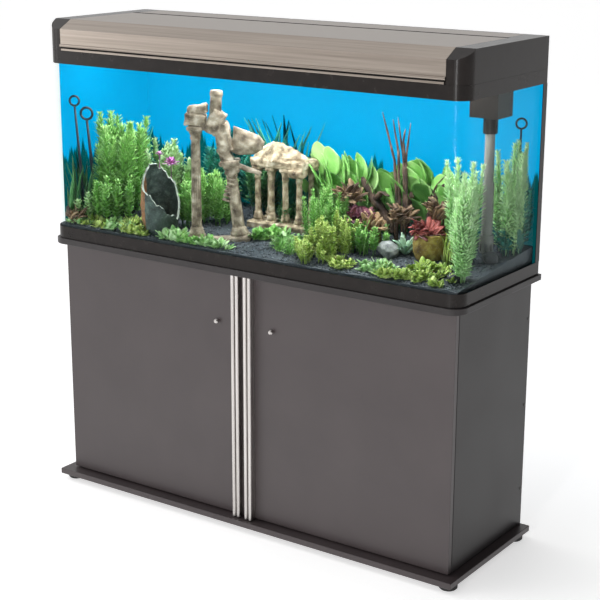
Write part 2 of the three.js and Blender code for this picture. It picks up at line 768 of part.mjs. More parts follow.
function hoodBody() {
  const past = 10;
  const top = hoodHeight + past;
  const lidSpace = box(-capStart, capStart, hoodFront - past, channelBack, railHeight, top);
  const railSpace = box(-capStart, capStart, hoodFront - past, hoodFront + railSetback, -past, top);
  const coverSpace = box(-coverHalf, coverHalf, coverFront, coverBack, channelFloor, top);
  const glandHole = rod(glandStemRadius + touch, 0, 4 * hoodWall, 16).rotateX(-Math.PI / 2);
  glandHole.translate(glandX, hoodBack - 2 * hoodWall, glandHeight);
  const shell = hoodBlock(0).subtract(hoodBlock(hoodWall));
  const skin = [lidSpace, railSpace, coverSpace, glandHole].reduce((s, c) => s.subtract(solid(c)), shell);

  // The frame inside ends a little short of the skin's faces, so that the two join without slivers.
  const wallStart = capStart + bury;
  const wallEnd = capStart + capWall;
  const endProfile = hoodProfile(bury);
  const endTrim = box(-tankLength, tankLength, -tankDepth, tankDepth, -past, bury);
  const ends = [alongX(endProfile, wallStart, wallEnd), alongX(endProfile, -wallEnd, -wallStart)];
  const railFront = hoodFront + railSetback;
  const x = wallEnd - bury;
  const rail = box(-x, x, railFront, railFront + railDepth, bury, railHeight);
  const beam = box(-x, x, channelFront - 4, coverFront - 2 * bury, channelFloor - 4, channelFloor);
  const web = box(-x, x, channelBack + bury, coverFront - bury, channelFloor - 3, hoodHeight - 1);
  const ribs = [crossRib(ribOffset), crossRib(-ribOffset - ribThickness)];
  const ledgeTop = hoodHeight - hoodWall;
  const ledgeOut = box(-coverHalf - 5, coverHalf + 5, channelBack, coverBack + 5, ledgeTop - 3, ledgeTop);
  const ledgeIn = box(-coverHalf + 5, coverHalf - 5, coverFront + 5, coverBack - 5, ledgeTop - 4, top);
  const ledge = cutFrom(ledgeOut, ledgeIn);
  const frame = joined(...ends, rail, beam, web, ...ribs).subtract(solid(endTrim)).add(ledge);
  const holeLength = 2 * wallEnd + 2 * past;
  const pinHole = rod(lidPinRadius + touch, -holeLength / 2, holeLength / 2, 12).rotateY(Math.PI / 2);
  pinHole.translate(0, pinY, pinZ);
  return geometryOf(skin.add(frame).subtract(solid(pinHole)));
}

function lidEar(x) {
  const reach = 22;
  const under = hoodHeight - lidThickness + 0.5;
  const arm = polygon([
    [channelFront - reach, under],
    [channelFront - reach, under - 4],
    [pinY, pinZ - lidEarRadius],
    [pinY, pinZ + lidEarRadius],
    [channelFront - 1, under],
  ]);
  const eye = rod(lidEarRadius, 0, lidEarThickness, 16).rotateY(Math.PI / 2).translate(x, pinY, pinZ);
  const bore = rod(lidPinRadius + runningGap, -1, lidEarThickness + 1, 12).rotateY(Math.PI / 2);
  bore.translate(x, pinY, pinZ);
  return joined(alongX(arm, x, x + lidEarThickness), eye).subtract(solid(bore));
}

// One folded panel: a round bead along its lower edge, the front face, the slope and the top.
function hoodLid() {
  const inner = hoodFront + lidThickness;
  const profile = new THREE.Shape();
  profile.moveTo(inner, lidBottom);
  profile.lineTo(hoodFront, lidBottom);
  profile.absarc(hoodFront, lidBottom + beadRadius, beadRadius, -Math.PI / 2, Math.PI / 2, true);
  profile.lineTo(hoodFront, hoodCrease);
  profile.lineTo(hoodFront + hoodSlope, hoodHeight);
  profile.lineTo(channelFront, hoodHeight);
  profile.lineTo(channelFront, hoodHeight - lidThickness);
  profile.lineTo(hoodFront + hoodSlope + lidThickness * 0.3, hoodHeight - lidThickness);
  profile.lineTo(inner, hoodCrease - lidThickness * 0.6);
  const panel = solid(alongX(profile, -lidHalf, lidHalf, 8));
  const earInset = 9;
  const right = lidEar(lidHalf - earInset);
  const left = lidEar(-lidHalf + earInset - lidEarThickness);
  return geometryOf(panel.add(right).add(left));
}

function lidPin(sx) {
  const inner = sx * (lidHalf - 13);
  const outer = sx * (capStart + 4);
  const pin = rod(lidPinRadius, Math.min(inner, outer), Math.max(inner, outer), 12);
  return pin.rotateY(Math.PI / 2).translate(0, pinY, pinZ);
}

function frontTrimStrip() {
  const back = hoodFront + railSetback - touch;
  const x = lidHalf - 3;
  return box(-x, x, back - trimStripDepth, back, touch, touch + trimStripHeight);
}

function rearCover() {
  const x = coverHalf - lidEndGap;
  const z0 = hoodHeight - hoodWall + touch;
  const gap = lidEndGap;
  return box(-x, x, coverFront + gap, coverBack - gap, z0, hoodHeight);
}

function cableGland() {
  const profile = [
    [glandBore, -9],
    [glandStemRadius, -9],
    [glandStemRadius, touch],
    [glandRadius, touch],
    [glandRadius - 1, 5],
    [glandBore, 5],
    [glandBore, -9],
  ];
  return turned(profile, 16).rotateX(-Math.PI / 2).translate(glandX, hoodBack, glandHeight);
}

place(hood, "hood_body", hoodBody(), darkPlastic);
place(hood, "hood_lid", hoodLid(), champagne);
place(hood, "front_trim_strip", frontTrimStrip(), champagne);
place(hood, "rear_cover", rearCover(), champagne);
place(hood, "cable_gland", cableGland(), blackRubber);
place(hood, "left_lid_pin", lidPin(-1), steel);
place(hood, "right_lid_pin", lidPin(1), steel);

// ---- Lights under the lid
const housingFront = hoodFront + housingSetback;
const housingMiddle = housingFront + housingDepth / 2;
const housingHalf = ribOffset - housingInset;
const tubeHalf = housingHalf - tubeInset;
const tubeZ = housingBase + housingHeight / 2 - 1;

function lightHousing() {
  const top = housingBase + housingHeight;
  const back = housingFront + housingDepth;
  const w = housingWall;
  const shell = box(-housingHalf, housingHalf, housingFront, back, housingBase, top);
  const inside = housingHalf - housingEndBlock;
  const hollow = box(-inside, inside, housingFront + w, back - w, housingBase - 1, top - w);
  const sockets = [-1, 1].map((side) => {
    const socket = rod(tubeRadius + 0.5, -tubeHalf - 1, tubeHalf + 1, 20).rotateY(Math.PI / 2);
    return socket.translate(0, housingMiddle + (side * tubeSpacing) / 2, tubeZ);
  });
  return geometryOf(cutFrom(shell, hollow, ...sockets));
}

function fluorescentTube(side) {
  const tube = rod(tubeRadius, -tubeHalf, tubeHalf, 20).rotateY(Math.PI / 2);
  return tube.translate(0, housingMiddle + (side * tubeSpacing) / 2, tubeZ);
}

function splashGuard() {
  const top = housingBase - touch;
  const back = housingFront + housingDepth;
  return box(-housingHalf, housingHalf, housingFront, back, top - splashGuardThickness, top);
}

place(hood, "light_housing", lightHousing(), whitePlastic);
place(hood, "front_fluorescent_tube", fluorescentTube(-1), lampGlass);
place(hood, "rear_fluorescent_tube", fluorescentTube(1), lampGlass);
place(hood, "splash_guard", splashGuard(), clearPlastic);

// ---- Overhead filter: tray and sponge behind the hinge beam, pump and intake hanging at the right
const trayFront = coverFront + 6;
const trayBase = ribFoot + touch;
const trayHeight = channelFloor - trayHeadroom - trayBase;
const trayLeft = -ribOffset - ribThickness - trayOverhang;
const trayRight = capStart - 3;
const pumpX = ribOffset + pumpInset;
const pumpY = hoodBack - pumpSetback;

function filterTray() {
  const w = trayWall;
  const back = trayFront + trayDepth;
  const shell = box(trayLeft, trayRight, trayFront, back, trayBase, trayBase + trayHeight);
  const top = trayBase + 2 * trayHeight;
  const hollow = box(trayLeft + w, trayRight - w, trayFront + w, back - w, trayBase + w, top);
  const drainStart = trayLeft + drainInset;
  const drainBack = trayFront + outletReach + drainWidth;
  const drainSides = [drainStart, drainStart + drainLength, trayFront + outletReach, drainBack];
  const drain = box(...drainSides, trayBase - 1, trayBase + 2 * w);
  return geometryOf(cutFrom(shell, hollow, drain));
}

function filterSponge() {
  const gap = trayWall + 1;
  const x1 = pumpX - spongeGap;
  const z0 = trayBase + trayWall + touch;
  const z1 = z0 + trayHeight - spongeDrop;
  return box(trayLeft + spongeInset, x1, trayFront + gap, trayFront + trayDepth - gap, z0, z1);
}

place(hood, "filter_tray", filterTray(), darkPlastic);
place(hood, "filter_sponge", filterSponge(), sponge);

// The filter's own group has its origin on the pump's axis at the hood's underside.
const filter = group(hood, pumpX, pumpY, 0);
const pumpTop = -pumpDrop;
const pumpRiserHeight = channelFloor - riserDrop;
const pumpBottom = pumpTop - pumpHeight;
const chamberBottom = pumpBottom + 8;
const neckBottom = pumpBottom - pumpNeckLength;
const intakeTop = neckBottom - touch;
const strainerBottom = strainerRise - tankHeight - touch;
const strainerTop = strainerBottom + strainerHeight;
const sleeveBottom = strainerTop - strainerCup;
const sleeveTop = sleeveBottom + sleeveLength;
const intakeBottom = sleeveTop - sleeveOverlap;
const sleeveInner = intakeRadius + runningGap;
const sleeveRadius = sleeveInner + sleeveWall;

function pumpHousing() {
  const w = pumpWidth / 2;
  const block = box(-w, w, -w, w, pumpBottom, pumpTop);
  const riser = box(-riserLeft, riserRight, -riserReach, riserReach, pumpTop - 1, pumpRiserHeight);
  const neck = rod(pumpNeckRadius, neckBottom, pumpBottom + 1);
  const chamber = rod(chamberRadius, chamberBottom, chamberBottom + chamberHeight);
  const inlet = rod(intakeRadius - intakeWall, neckBottom - 1, chamberBottom + 1, 16);
  const outlet = rod(outletRadius - 2, chamberBottom + chamberHeight - 1, pumpRiserHeight + 1, 12);
  const bores = [chamber, inlet, outlet].map(solid);
  return geometryOf(bores.reduce((rest, bore) => rest.subtract(bore), joined(block, riser, neck)));
}

function pumpImpeller() {
  const z0 = chamberBottom + 3;
  const vaneTop = z0 + 16;
  const shaft = rod(1.5, z0 - 2, z0 + 49, 8);
  const rotor = rod(11, vaneTop - 1, z0 + 46, 16);
  const vanes = Array.from({ length: impellerVanes }, (_, i) => {
    const vane = box(0, impellerRadius, -1.2, 1.2, z0, vaneTop);
    return vane.rotateZ((2 * Math.PI * i) / impellerVanes);
  });
  return geometryOf(joined(shaft, rotor, ...vanes));
}

function outletElbow() {
  const rise = pumpRiserHeight + elbowRise;
  const reach = trayFront + outletReach - pumpY;
  const points = [
    [0, pumpRiserHeight + touch],
    [0, rise - 8],
    [2.4, rise - 2.4],
    [8, rise],
    [reach - 8, rise],
    [reach - 2.4, rise - 1.6],
    [reach, rise - 6],
  ].map(([y, z]) => new THREE.Vector3(0, y, z));
  const path = new THREE.CurvePath();
  points.slice(1).forEach((point, i) => path.add(new THREE.LineCurve3(points[i], point)));
  const section = new THREE.Shape().absarc(0, 0, outletRadius, 0, 2 * Math.PI, false);
  section.holes.push(new THREE.Path().absarc(0, 0, outletRadius - 2, 0, 2 * Math.PI, true));
  return new THREE.ExtrudeGeometry(section, { steps: 14, curveSegments: 5, extrudePath: path });
}

function intakeStrainer() {
  const r = strainerRadius;
  const wall = 2;
  const bottom = strainerBottom;
  const bore = sleeveRadius + runningGap;
  const skirt = [[0, bottom], [r - 3, bottom], [r, bottom + 3]];
  const cage = turned([...skirt, [r, strainerTop], [0, strainerTop]], 24);
  const cup = rod(bore, sleeveBottom - runningGap, strainerTop + 1);
  const hollow = rod(r - wall, bottom + wall, sleeveBottom - 4);
  const throat = rod(sleeveInner, sleeveBottom - 5, sleeveBottom);
  const slots = Array.from({ length: strainerSlots / 2 }, (_, i) => {
    const slot = box(-2 * r, 2 * r, -2, 2, bottom + 6, sleeveBottom - 8);
    return slot.rotateZ((Math.PI * (i + 0.5)) / (strainerSlots / 2));
  });
  return geometryOf(cutFrom(cage, cup, hollow, throat, ...slots));
}

place(filter, "pump_housing", pumpHousing(), darkPlastic);
place(filter, "pump_impeller", pumpImpeller(), whitePlastic);
place(filter, "outlet_elbow", outletElbow(), greyPlastic);
const intakeBore = intakeRadius - intakeWall;
place(filter, "intake_tube", pipe(intakeRadius, intakeBore, intakeBottom, intakeTop), greyPlastic);
place(filter, "intake_sleeve", pipe(sleeveRadius, sleeveInner, sleeveBottom, sleeveTop), greyPlastic);
place(filter, "intake_strainer", intakeStrainer(), greyPlastic);

export default aquarium;
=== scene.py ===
# Aquarium on a cabinet stand, dressed in its real finishes: laminate, moulded plastic, brushed metal, glass,
# gravel, resin scenery and soft plastic plants. Metres, +Z up, doors facing -Y.
import math
import random

import bmesh
import bpy
import numpy as np
from mathutils import Euler, Matrix, Vector, noise


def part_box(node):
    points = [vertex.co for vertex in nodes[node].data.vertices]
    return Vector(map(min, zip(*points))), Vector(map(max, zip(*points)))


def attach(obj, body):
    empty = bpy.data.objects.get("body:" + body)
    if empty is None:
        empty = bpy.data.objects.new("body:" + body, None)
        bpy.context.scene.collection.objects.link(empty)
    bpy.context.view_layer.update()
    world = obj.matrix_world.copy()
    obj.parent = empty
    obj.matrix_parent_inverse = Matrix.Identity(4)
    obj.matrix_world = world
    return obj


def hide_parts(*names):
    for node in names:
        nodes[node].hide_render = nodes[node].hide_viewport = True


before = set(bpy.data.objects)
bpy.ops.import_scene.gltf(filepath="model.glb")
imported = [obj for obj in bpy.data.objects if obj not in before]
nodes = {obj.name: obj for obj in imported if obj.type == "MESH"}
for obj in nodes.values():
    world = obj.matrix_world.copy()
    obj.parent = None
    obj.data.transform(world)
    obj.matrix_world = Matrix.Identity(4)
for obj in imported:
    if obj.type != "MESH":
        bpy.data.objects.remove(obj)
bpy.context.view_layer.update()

# ---- Studio
# A pale floor and soft lamps. The camera stands to the right of the doors, a little above the hood.
# The floor is paper white and the lamps are large softboxes, so that shadows stay faint.
scene = bpy.context.scene
scene.view_settings.view_transform = "Standard"

lens = bpy.data.cameras.new("camera")
lens.sensor_width = 36
lens.lens = 89.5
camera = bpy.data.objects.new("camera", lens)
scene.collection.objects.link(camera)
camera_yaw = 0.60967
camera_pitch = 0.273927
camera_roll = 0.003135
camera.matrix_world = (
    Matrix.Translation((2.1092, -2.9523, 1.5814))
    @ Matrix.Rotation(camera_yaw, 4, "Z")
    @ Matrix.Rotation(math.pi / 2 - camera_pitch, 4, "X")
    @ Matrix.Rotation(camera_roll, 4, "Z")
)
scene.camera = camera


def clear_selection():
    bpy.ops.object.select_all(action="DESELECT")


def finish(
    name, tones, scale, stretch=(1, 1, 1), rough=(0.4, 0.5), metal=0.0, bump=0.0, fine=1.0, detail=4.0
):
    """A surface whose colour, roughness and relief follow one noise, set out along the piece's own axes."""
    made = bpy.data.materials.new(name)
    made.use_nodes = True
    tree = made.node_tree
    shader = tree.nodes["Principled BSDF"]
    place = tree.nodes.new("ShaderNodeTexCoord")
    grain = tree.nodes.new("ShaderNodeMapping")
    grain.inputs["Scale"].default_value = stretch
    tree.links.new(place.outputs["Object"], grain.inputs["Vector"])
    cloud = tree.nodes.new("ShaderNodeTexNoise")
    cloud.name = "cloud"
    cloud.inputs["Scale"].default_value = scale
    cloud.inputs["Detail"].default_value = detail
    tree.links.new(grain.outputs["Vector"], cloud.inputs["Vector"])
    ramp = tree.nodes.new("ShaderNodeValToRGB")
    ramp.name = "ramp"
    while len(ramp.color_ramp.elements) < len(tones):
        ramp.color_ramp.elements.new(0.5)
    for i, tone in enumerate(tones):
        spread = 0.5 if len(tones) == 1 else i / (len(tones) - 1)
        ramp.color_ramp.elements[i].position = 0.3 + 0.4 * spread
        ramp.color_ramp.elements[i].color = (*tone, 1)
    tree.links.new(cloud.outputs["Fac"], ramp.inputs["Fac"])
    tree.links.new(ramp.outputs["Color"], shader.inputs["Base Color"])
    gloss = tree.nodes.new("ShaderNodeMapRange")
    gloss.inputs["From Min"].default_value = 0.3
    gloss.inputs["From Max"].default_value = 0.7
    gloss.inputs["To Min"].default_value = rough[0]
    gloss.inputs["To Max"].default_value = rough[1]
    tree.links.new(cloud.outputs["Fac"], gloss.inputs["Value"])
    tree.links.new(gloss.outputs["Result"], shader.inputs["Roughness"])
    shader.inputs["Metallic"].default_value = metal
    if bump:
        pores = tree.nodes.new("ShaderNodeTexNoise")
        pores.name = "pores"
        pores.inputs["Scale"].default_value = scale * fine
        pores.inputs["Detail"].default_value = 3
        tree.links.new(grain.outputs["Vector"], pores.inputs["Vector"])
        relief = tree.nodes.new("ShaderNodeBump")
        relief.inputs["Strength"].default_value = bump
        relief.inputs["Distance"].default_value = 0.001
        tree.links.new(pores.outputs["Fac"], relief.inputs["Height"])
        tree.links.new(relief.outputs["Normal"], shader.inputs["Normal"])
    return made


def dial(material, socket, value):
    """Sets one value of a material's shader."""
    material.node_tree.nodes["Principled BSDF"].inputs[socket].default_value = value


def coat(material, *names):
    """Puts a finish on CAD nodes."""
    for name in names:
        slots = nodes[name].data.materials
        slots.clear()
        slots.append(material)


clear_selection()
bpy.ops.mesh.primitive_plane_add(size=70, location=(0, 0, 0))
floor = bpy.context.object
floor.name = "studio_floor"
paper = finish(
    "studio_paper", [(0.90, 0.90, 0.90), (0.93, 0.93, 0.93)], 3, rough=(0.75, 0.85), bump=0.02, fine=60
)
dial(paper, "Emission Color", (1.0, 1.0, 1.0, 1))
dial(paper, "Emission Strength", 0.55)
floor.data.materials.append(paper)

# The walls are a soft light all round: brightest on the left in front, even behind, and dim on the right.
world = bpy.data.worlds.new("studio")
scene.world = world
world.use_nodes = True
air = world.node_tree
air.nodes["Background"].inputs["Color"].default_value = (1.0, 1.0, 1.0, 1)
heading = air.nodes.new("ShaderNodeTexCoord")
ways = air.nodes.new("ShaderNodeSeparateXYZ")
air.links.new(heading.outputs["Generated"], ways.inputs["Vector"])


def wall_light(way, start, end, first, last):
    """A brightness that goes from one value to another as the direction turns."""
    fade = air.nodes.new("ShaderNodeMapRange")
    fade.interpolation_type = "SMOOTHSTEP"
    for socket, value in (("From Min", start), ("From Max", end), ("To Min", first), ("To Max", last)):
        fade.inputs[socket].default_value = value
    air.links.new(ways.outputs[way], fade.inputs["Value"])
    return fade.outputs["Result"]


front_and_back = air.nodes.new("ShaderNodeMix")
air.links.new(wall_light("Y", -0.1, 0.6, 0.0, 1.0), front_and_back.inputs["Factor"])
air.links.new(wall_light("X", -0.82, -0.46, 2.3, 0.42), front_and_back.inputs["A"])
front_and_back.inputs["B"].default_value = 0.80
glare = air.nodes.new("ShaderNodeMath")
glare.operation = "MULTIPLY"
air.links.new(front_and_back.outputs["Result"], glare.inputs[0])
air.links.new(wall_light("X", -0.30, 0.20, 1.0, 0.15), glare.inputs[1])
air.links.new(glare.outputs["Value"], air.nodes["Background"].inputs["Strength"])
white_wall = air.nodes.new("ShaderNodeBackground")
white_wall.inputs["Color"].default_value = (1.0, 1.0, 1.0, 1)
seen_straight = air.nodes.new("ShaderNodeLightPath")
wall = air.nodes.new("ShaderNodeMixShader")
air.links.new(seen_straight.outputs["Is Camera Ray"], wall.inputs["Fac"])
air.links.new(air.nodes["Background"].outputs["Background"], wall.inputs[1])
air.links.new(white_wall.outputs["Background"], wall.inputs[2])
air.links.new(wall.outputs["Shader"], air.nodes["World Output"].inputs["Surface"])


def soft_lamp(name, place, target, width, height, brightness):
    """A softbox aimed at a point. Its brightness is that of its white face."""
    data = bpy.data.lights.new(name, "AREA")
    data.shape = "RECTANGLE"
    data.size = width
    data.size_y = height
    data.energy = brightness * math.pi * width * height
    lamp = bpy.data.objects.new(name, data)
    scene.collection.objects.link(lamp)
    lamp.location = place
    lamp.rotation_euler = (Vector(target) - Vector(place)).to_track_quat("-Z", "Y").to_euler()
    lamp.visible_camera = False
    return lamp


soft_lamp("top_softbox", (-0.8, -0.8, 4.6), (0, 0, 1.0), 4.0, 3.0, 1.0)
soft_lamp("left_strip", (-4.4, -3.3, 1.4), (-0.6, -0.2, 1.1), 0.9, 2.2, 4.0)
soft_lamp("corner_strip", (1.25, -4.3, 1.2), (0.58, -0.17, 1.1), 0.20, 2.2, 34.0)

# ---- Cabinet boards
# Chipboard of 15 mm with a satin dark taupe laminate. The boards inside are plainer. Dowels and cam fittings
# hold them, so no screw heads show at the front.
laminate = finish(
    "taupe_laminate",
    [(0.028, 0.0245, 0.025), (0.036, 0.0315, 0.032)],
    9, rough=(0.36, 0.44), bump=0.06, fine=160,
)
dial(laminate, "Specular IOR Level", 0.32)
coat(laminate, "top_board", "left_side_panel", "right_side_panel")
plain_board = finish(
    "plain_laminate", [(0.028, 0.025, 0.025), (0.036, 0.032, 0.032)], 7, rough=(0.5, 0.6), bump=0.06, fine=140
)
coat(plain_board, "back_panel", "centre_divider", "left_shelf", "right_shelf")
# The doors and the base board take a paler copy of the same laminate: painted light, for the extra light on
# the cabinet's front.
front_lit_laminate = finish(
    "front_lit_laminate",
    [(0.054, 0.042, 0.0435), (0.065, 0.0515, 0.0525)],
    6, rough=(0.33, 0.40), bump=0.05, fine=180,
)
coat(front_lit_laminate, "left_door", "right_door", "base_board")

# ---- Feet
# Four short round feet of moulded rubber, screwed up into the base board.
# They keep the base board off the floor. The hood's cable gland is of the same rubber.
rubber = finish(
    "foot_rubber", [(0.012, 0.012, 0.012), (0.024, 0.023, 0.023)], 60, rough=(0.6, 0.75), bump=0.2, fine=20
)
coat(rubber, "foot_front_left", "foot_front_right", "foot_rear_left", "foot_rear_right", "cable_gland")

# ---- Door handles, knobs and hinges
# The pull strips are polished aluminium extrusions drawn lengthwise. The knobs are turned, and the hinges
# nickelled.
drawn = finish(
    "drawn_aluminium",
    [(0.50, 0.47, 0.45), (0.66, 0.63, 0.61)],
    260,
    stretch=(1, 1, 0.012),
    rough=(0.22, 0.34),
    metal=1.0,
    bump=0.05,
    fine=2,
)
coat(drawn, "left_door_handle", "right_door_handle", "left_door_knob", "right_door_knob")
nickel = finish(
    "nickel", [(0.48, 0.48, 0.47), (0.58, 0.58, 0.57)], 120, rough=(0.25, 0.4), metal=1.0, bump=0.05
)
coat(nickel, "left_lid_pin", "right_lid_pin")
for side in ("left", "right"):
    for level in ("lower", "upper"):
        coat(nickel, f"{side}_{level}_hinge_cup", f"{side}_{level}_hinge_arm")

# ---- Tank frame
# Moulded rims of very dark brown plastic with a satin gloss, and a corner trim over each rear silicone
# joint.
moulded = finish(
    "dark_moulding",
    [(0.010, 0.0075, 0.0065), (0.016, 0.012, 0.0105)],
    40, rough=(0.24, 0.28), bump=0.02, fine=40,
)
dial(moulded, "Specular IOR Level", 0.22)
coat(moulded, "bottom_rim", "top_rim", "left_rear_corner_trim", "right_rear_corner_trim")

# ---- Glass
# Float glass of 6 mm: one sheet bent round the front and both sides, a back pane and a bottom pane. It is
# clear with a faint green cast, and mirrors more towards its bent corners.


def clear_sheet(name, tint, shine_rough, smears):
    made = bpy.data.materials.new(name)
    made.use_nodes = True
    tree = made.node_tree
    tree.nodes.remove(tree.nodes["Principled BSDF"])
    out = tree.nodes["Material Output"]
    through = tree.nodes.new("ShaderNodeBsdfTransparent")
    through.inputs["Color"].default_value = (*tint, 1)
    shine = tree.nodes.new("ShaderNodeBsdfGlossy")
    shine.inputs["Color"].default_value = (0.9, 0.97, 1.0, 1)
    place = tree.nodes.new("ShaderNodeTexCoord")
    haze = tree.nodes.new("ShaderNodeTexNoise")
    haze.inputs["Scale"].default_value = smears
    tree.links.new(place.outputs["Object"], haze.inputs["Vector"])
    spread = tree.nodes.new("ShaderNodeMapRange")
    spread.inputs["To Min"].default_value = shine_rough
    spread.inputs["To Max"].default_value = shine_rough * 2.5
    tree.links.new(haze.outputs["Fac"], spread.inputs["Value"])
    tree.links.new(spread.outputs["Result"], shine.inputs["Roughness"])
    edge = tree.nodes.new("ShaderNodeLayerWeight")
    edge.inputs["Blend"].default_value = 0.5
    grazing = tree.nodes.new("ShaderNodeMath")
    grazing.operation = "POWER"
    grazing.inputs[1].default_value = 6
    tree.links.new(edge.outputs["Facing"], grazing.inputs[0])
    mirror = tree.nodes.new("ShaderNodeMapRange")
    mirror.inputs["To Min"].default_value = 0.002
    mirror.inputs["To Max"].default_value = 0.30
    tree.links.new(grazing.outputs["Value"], mirror.inputs["Value"])
    mix = tree.nodes.new("ShaderNodeMixShader")
    tree.links.new(mirror.outputs["Result"], mix.inputs["Fac"])
    tree.links.new(through.outputs["BSDF"], mix.inputs[1])
    tree.links.new(shine.outputs["BSDF"], mix.inputs[2])
    tree.links.new(mix.outputs["Shader"], out.inputs["Surface"])
    return made


glass = clear_sheet("float_glass", (0.955, 0.985, 0.98), 0.01, 6)
coat(glass, "front_and_side_glass", "back_glass", "bottom_glass")
coat(clear_sheet("clear_acrylic", (0.93, 0.95, 0.95), 0.06, 14), "splash_guard")

# ---- Background film
# A printed plastic film taped outside the back pane and wrapped round the left end: deep sky blue, with the
# dark teal shapes of printed water weed along its lower part. The blue glows: painted light, standing in for
# the light of the tank's tubes falling on it.
film = finish("blue_film", [(0.0, 0.070, 0.14), (0.0, 0.080, 0.16)], 5, rough=(0.4, 0.5), bump=0.01, fine=50)
film_tree = film.node_tree
film_shader = film_tree.nodes["Principled BSDF"]
film_shader.inputs["Specular IOR Level"].default_value = 0.02
film_place = film_tree.nodes.new("ShaderNodeTexCoord")
apart = film_tree.nodes.new("ShaderNodeSeparateXYZ")
film_tree.links.new(film_place.outputs["Object"], apart.inputs["Vector"])


def film_sum(operation, a, b):
    """One step of arithmetic on the film's pattern. Each input is a socket or a number."""
    step = film_tree.nodes.new("ShaderNodeMath")
    step.operation = operation
    for socket, value in zip(step.inputs, (a, b)):
        if isinstance(value, (int, float)):
            socket.default_value = value
        else:
            film_tree.links.new(value, socket)
    return step.outputs["Value"]


def weed_line(scale, seed):
    """A noise that changes along the film but not with height."""
    stretch = film_tree.nodes.new("ShaderNodeMapping")
    stretch.inputs["Scale"].default_value = (1, 1, 0.03)
    stretch.inputs["Location"].default_value = (seed, 0, 0)
    film_tree.links.new(film_place.outputs["Object"], stretch.inputs["Vector"])
    weed = film_tree.nodes.new("ShaderNodeTexNoise")
    weed.inputs["Scale"].default_value = scale
    weed.inputs["Detail"].default_value = 2
    film_tree.links.new(stretch.outputs["Vector"], weed.inputs["Vector"])
    return weed.outputs["Fac"]


clump = film_sum("MULTIPLY", weed_line(7, 0.35), 0.30)
fronds = film_sum("MULTIPLY", weed_line(75, 1.7), 0.15)
weed_top = film_sum("ADD", film_sum("ADD", clump, fronds), 0.665)
above = film_sum("SUBTRACT", apart.outputs["Z"], weed_top)
edge_of_weed = film_tree.nodes.new("ShaderNodeMapRange")
edge_of_weed.inputs["From Min"].default_value = -0.006
edge_of_weed.inputs["From Max"].default_value = 0.006
film_tree.links.new(above, edge_of_weed.inputs["Value"])
print_mix = film_tree.nodes.new("ShaderNodeMix")
print_mix.data_type = "RGBA"
print_mix.inputs["A"].default_value = (0.0, 0.045, 0.045, 1)
film_tree.links.new(edge_of_weed.outputs["Result"], print_mix.inputs["Factor"])
film_tree.links.new(film_tree.nodes["ramp"].outputs["Color"], print_mix.inputs["B"])
film_tree.links.new(print_mix.outputs["Result"], film_shader.inputs["Base Color"])
# Painted light: the film glows, brightest in its blue and least in the printed weed, as if lit by the tubes.
painted_glow_mix = film_tree.nodes.new("ShaderNodeMix")
painted_glow_mix.data_type = "RGBA"
painted_glow_mix.inputs["A"].default_value = (0.0, 0.065, 0.075, 1)
painted_glow_mix.inputs["B"].default_value = (0.0, 0.40, 0.80, 1)
film_tree.links.new(edge_of_weed.outputs["Result"], painted_glow_mix.inputs["Factor"])
film_tree.links.new(painted_glow_mix.outputs["Result"], film_shader.inputs["Emission Color"])
film_shader.inputs["Emission Strength"].default_value = 0.84
coat(film, "background_film")

# ---- Hood
# A moulded plastic body with a hinged lid of champagne metal, brushed along its length, a second strip of
# the same metal under the lid, and a lift-out rear cover over the filter.
hood_plastic = finish(
    "hood_moulding",
    [(0.011, 0.008, 0.007), (0.018, 0.0135, 0.012)],
    36, rough=(0.23, 0.27), bump=0.02, fine=40,
)
dial(hood_plastic, "Specular IOR Level", 0.22)
coat(hood_plastic, "hood_body")
champagne = finish(
    "champagne_metal",
    [(0.265, 0.225, 0.192), (0.365, 0.315, 0.272)],
    240,
    stretch=(0.012, 1, 1),
    rough=(0.28, 0.38),
    metal=0.9,
    bump=0.10,
    fine=2,
)
coat(champagne, "hood_lid", "front_trim_strip", "rear_cover")

# ---- Lid gap shade
# A strip of near-black foam, glued along the hood's rail. The lid's lower edge closes against it. It is
# painted
# shade: it stands for the dark channel under the lid, and hides the hood's inside.
lid_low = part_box("hood_lid")[0]
strip_low, strip_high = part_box("front_trim_strip")
gap_shade_finish = finish(
    "gap_shade_foam", [(0.004, 0.004, 0.004), (0.010, 0.009, 0.009)], 200, rough=(0.85, 0.95), bump=0.6, fine=3
)
gap_shade_foot = strip_high.z + 0.0006
gap_shade_top = lid_low.z - 0.0003
gap_shade_setback = 0.0105  # lid's front edge to the middle of the strip
gap_shade_size = (strip_high.x - strip_low.x - 0.002, 0.005, gap_shade_top - gap_shade_foot)
clear_selection()
bpy.ops.mesh.primitive_cube_add(size=1)
lid_gap_shade = bpy.context.object
lid_gap_shade.data.transform(
    Matrix.Translation((0, lid_low.y + gap_shade_setback, (gap_shade_foot + gap_shade_top) / 2))
    @ Matrix.Diagonal((*gap_shade_size, 1))
)
bpy.ops.object.mode_set(mode="EDIT")
bpy.ops.mesh.select_all(action="SELECT")
bpy.ops.mesh.bevel(offset=0.0006, segments=2)
bpy.ops.object.mode_set(mode="OBJECT")
lid_gap_shade.name = "lid_gap_shade"
lid_gap_shade.data.materials.append(gap_shade_finish)
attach(lid_gap_shade, "hood")

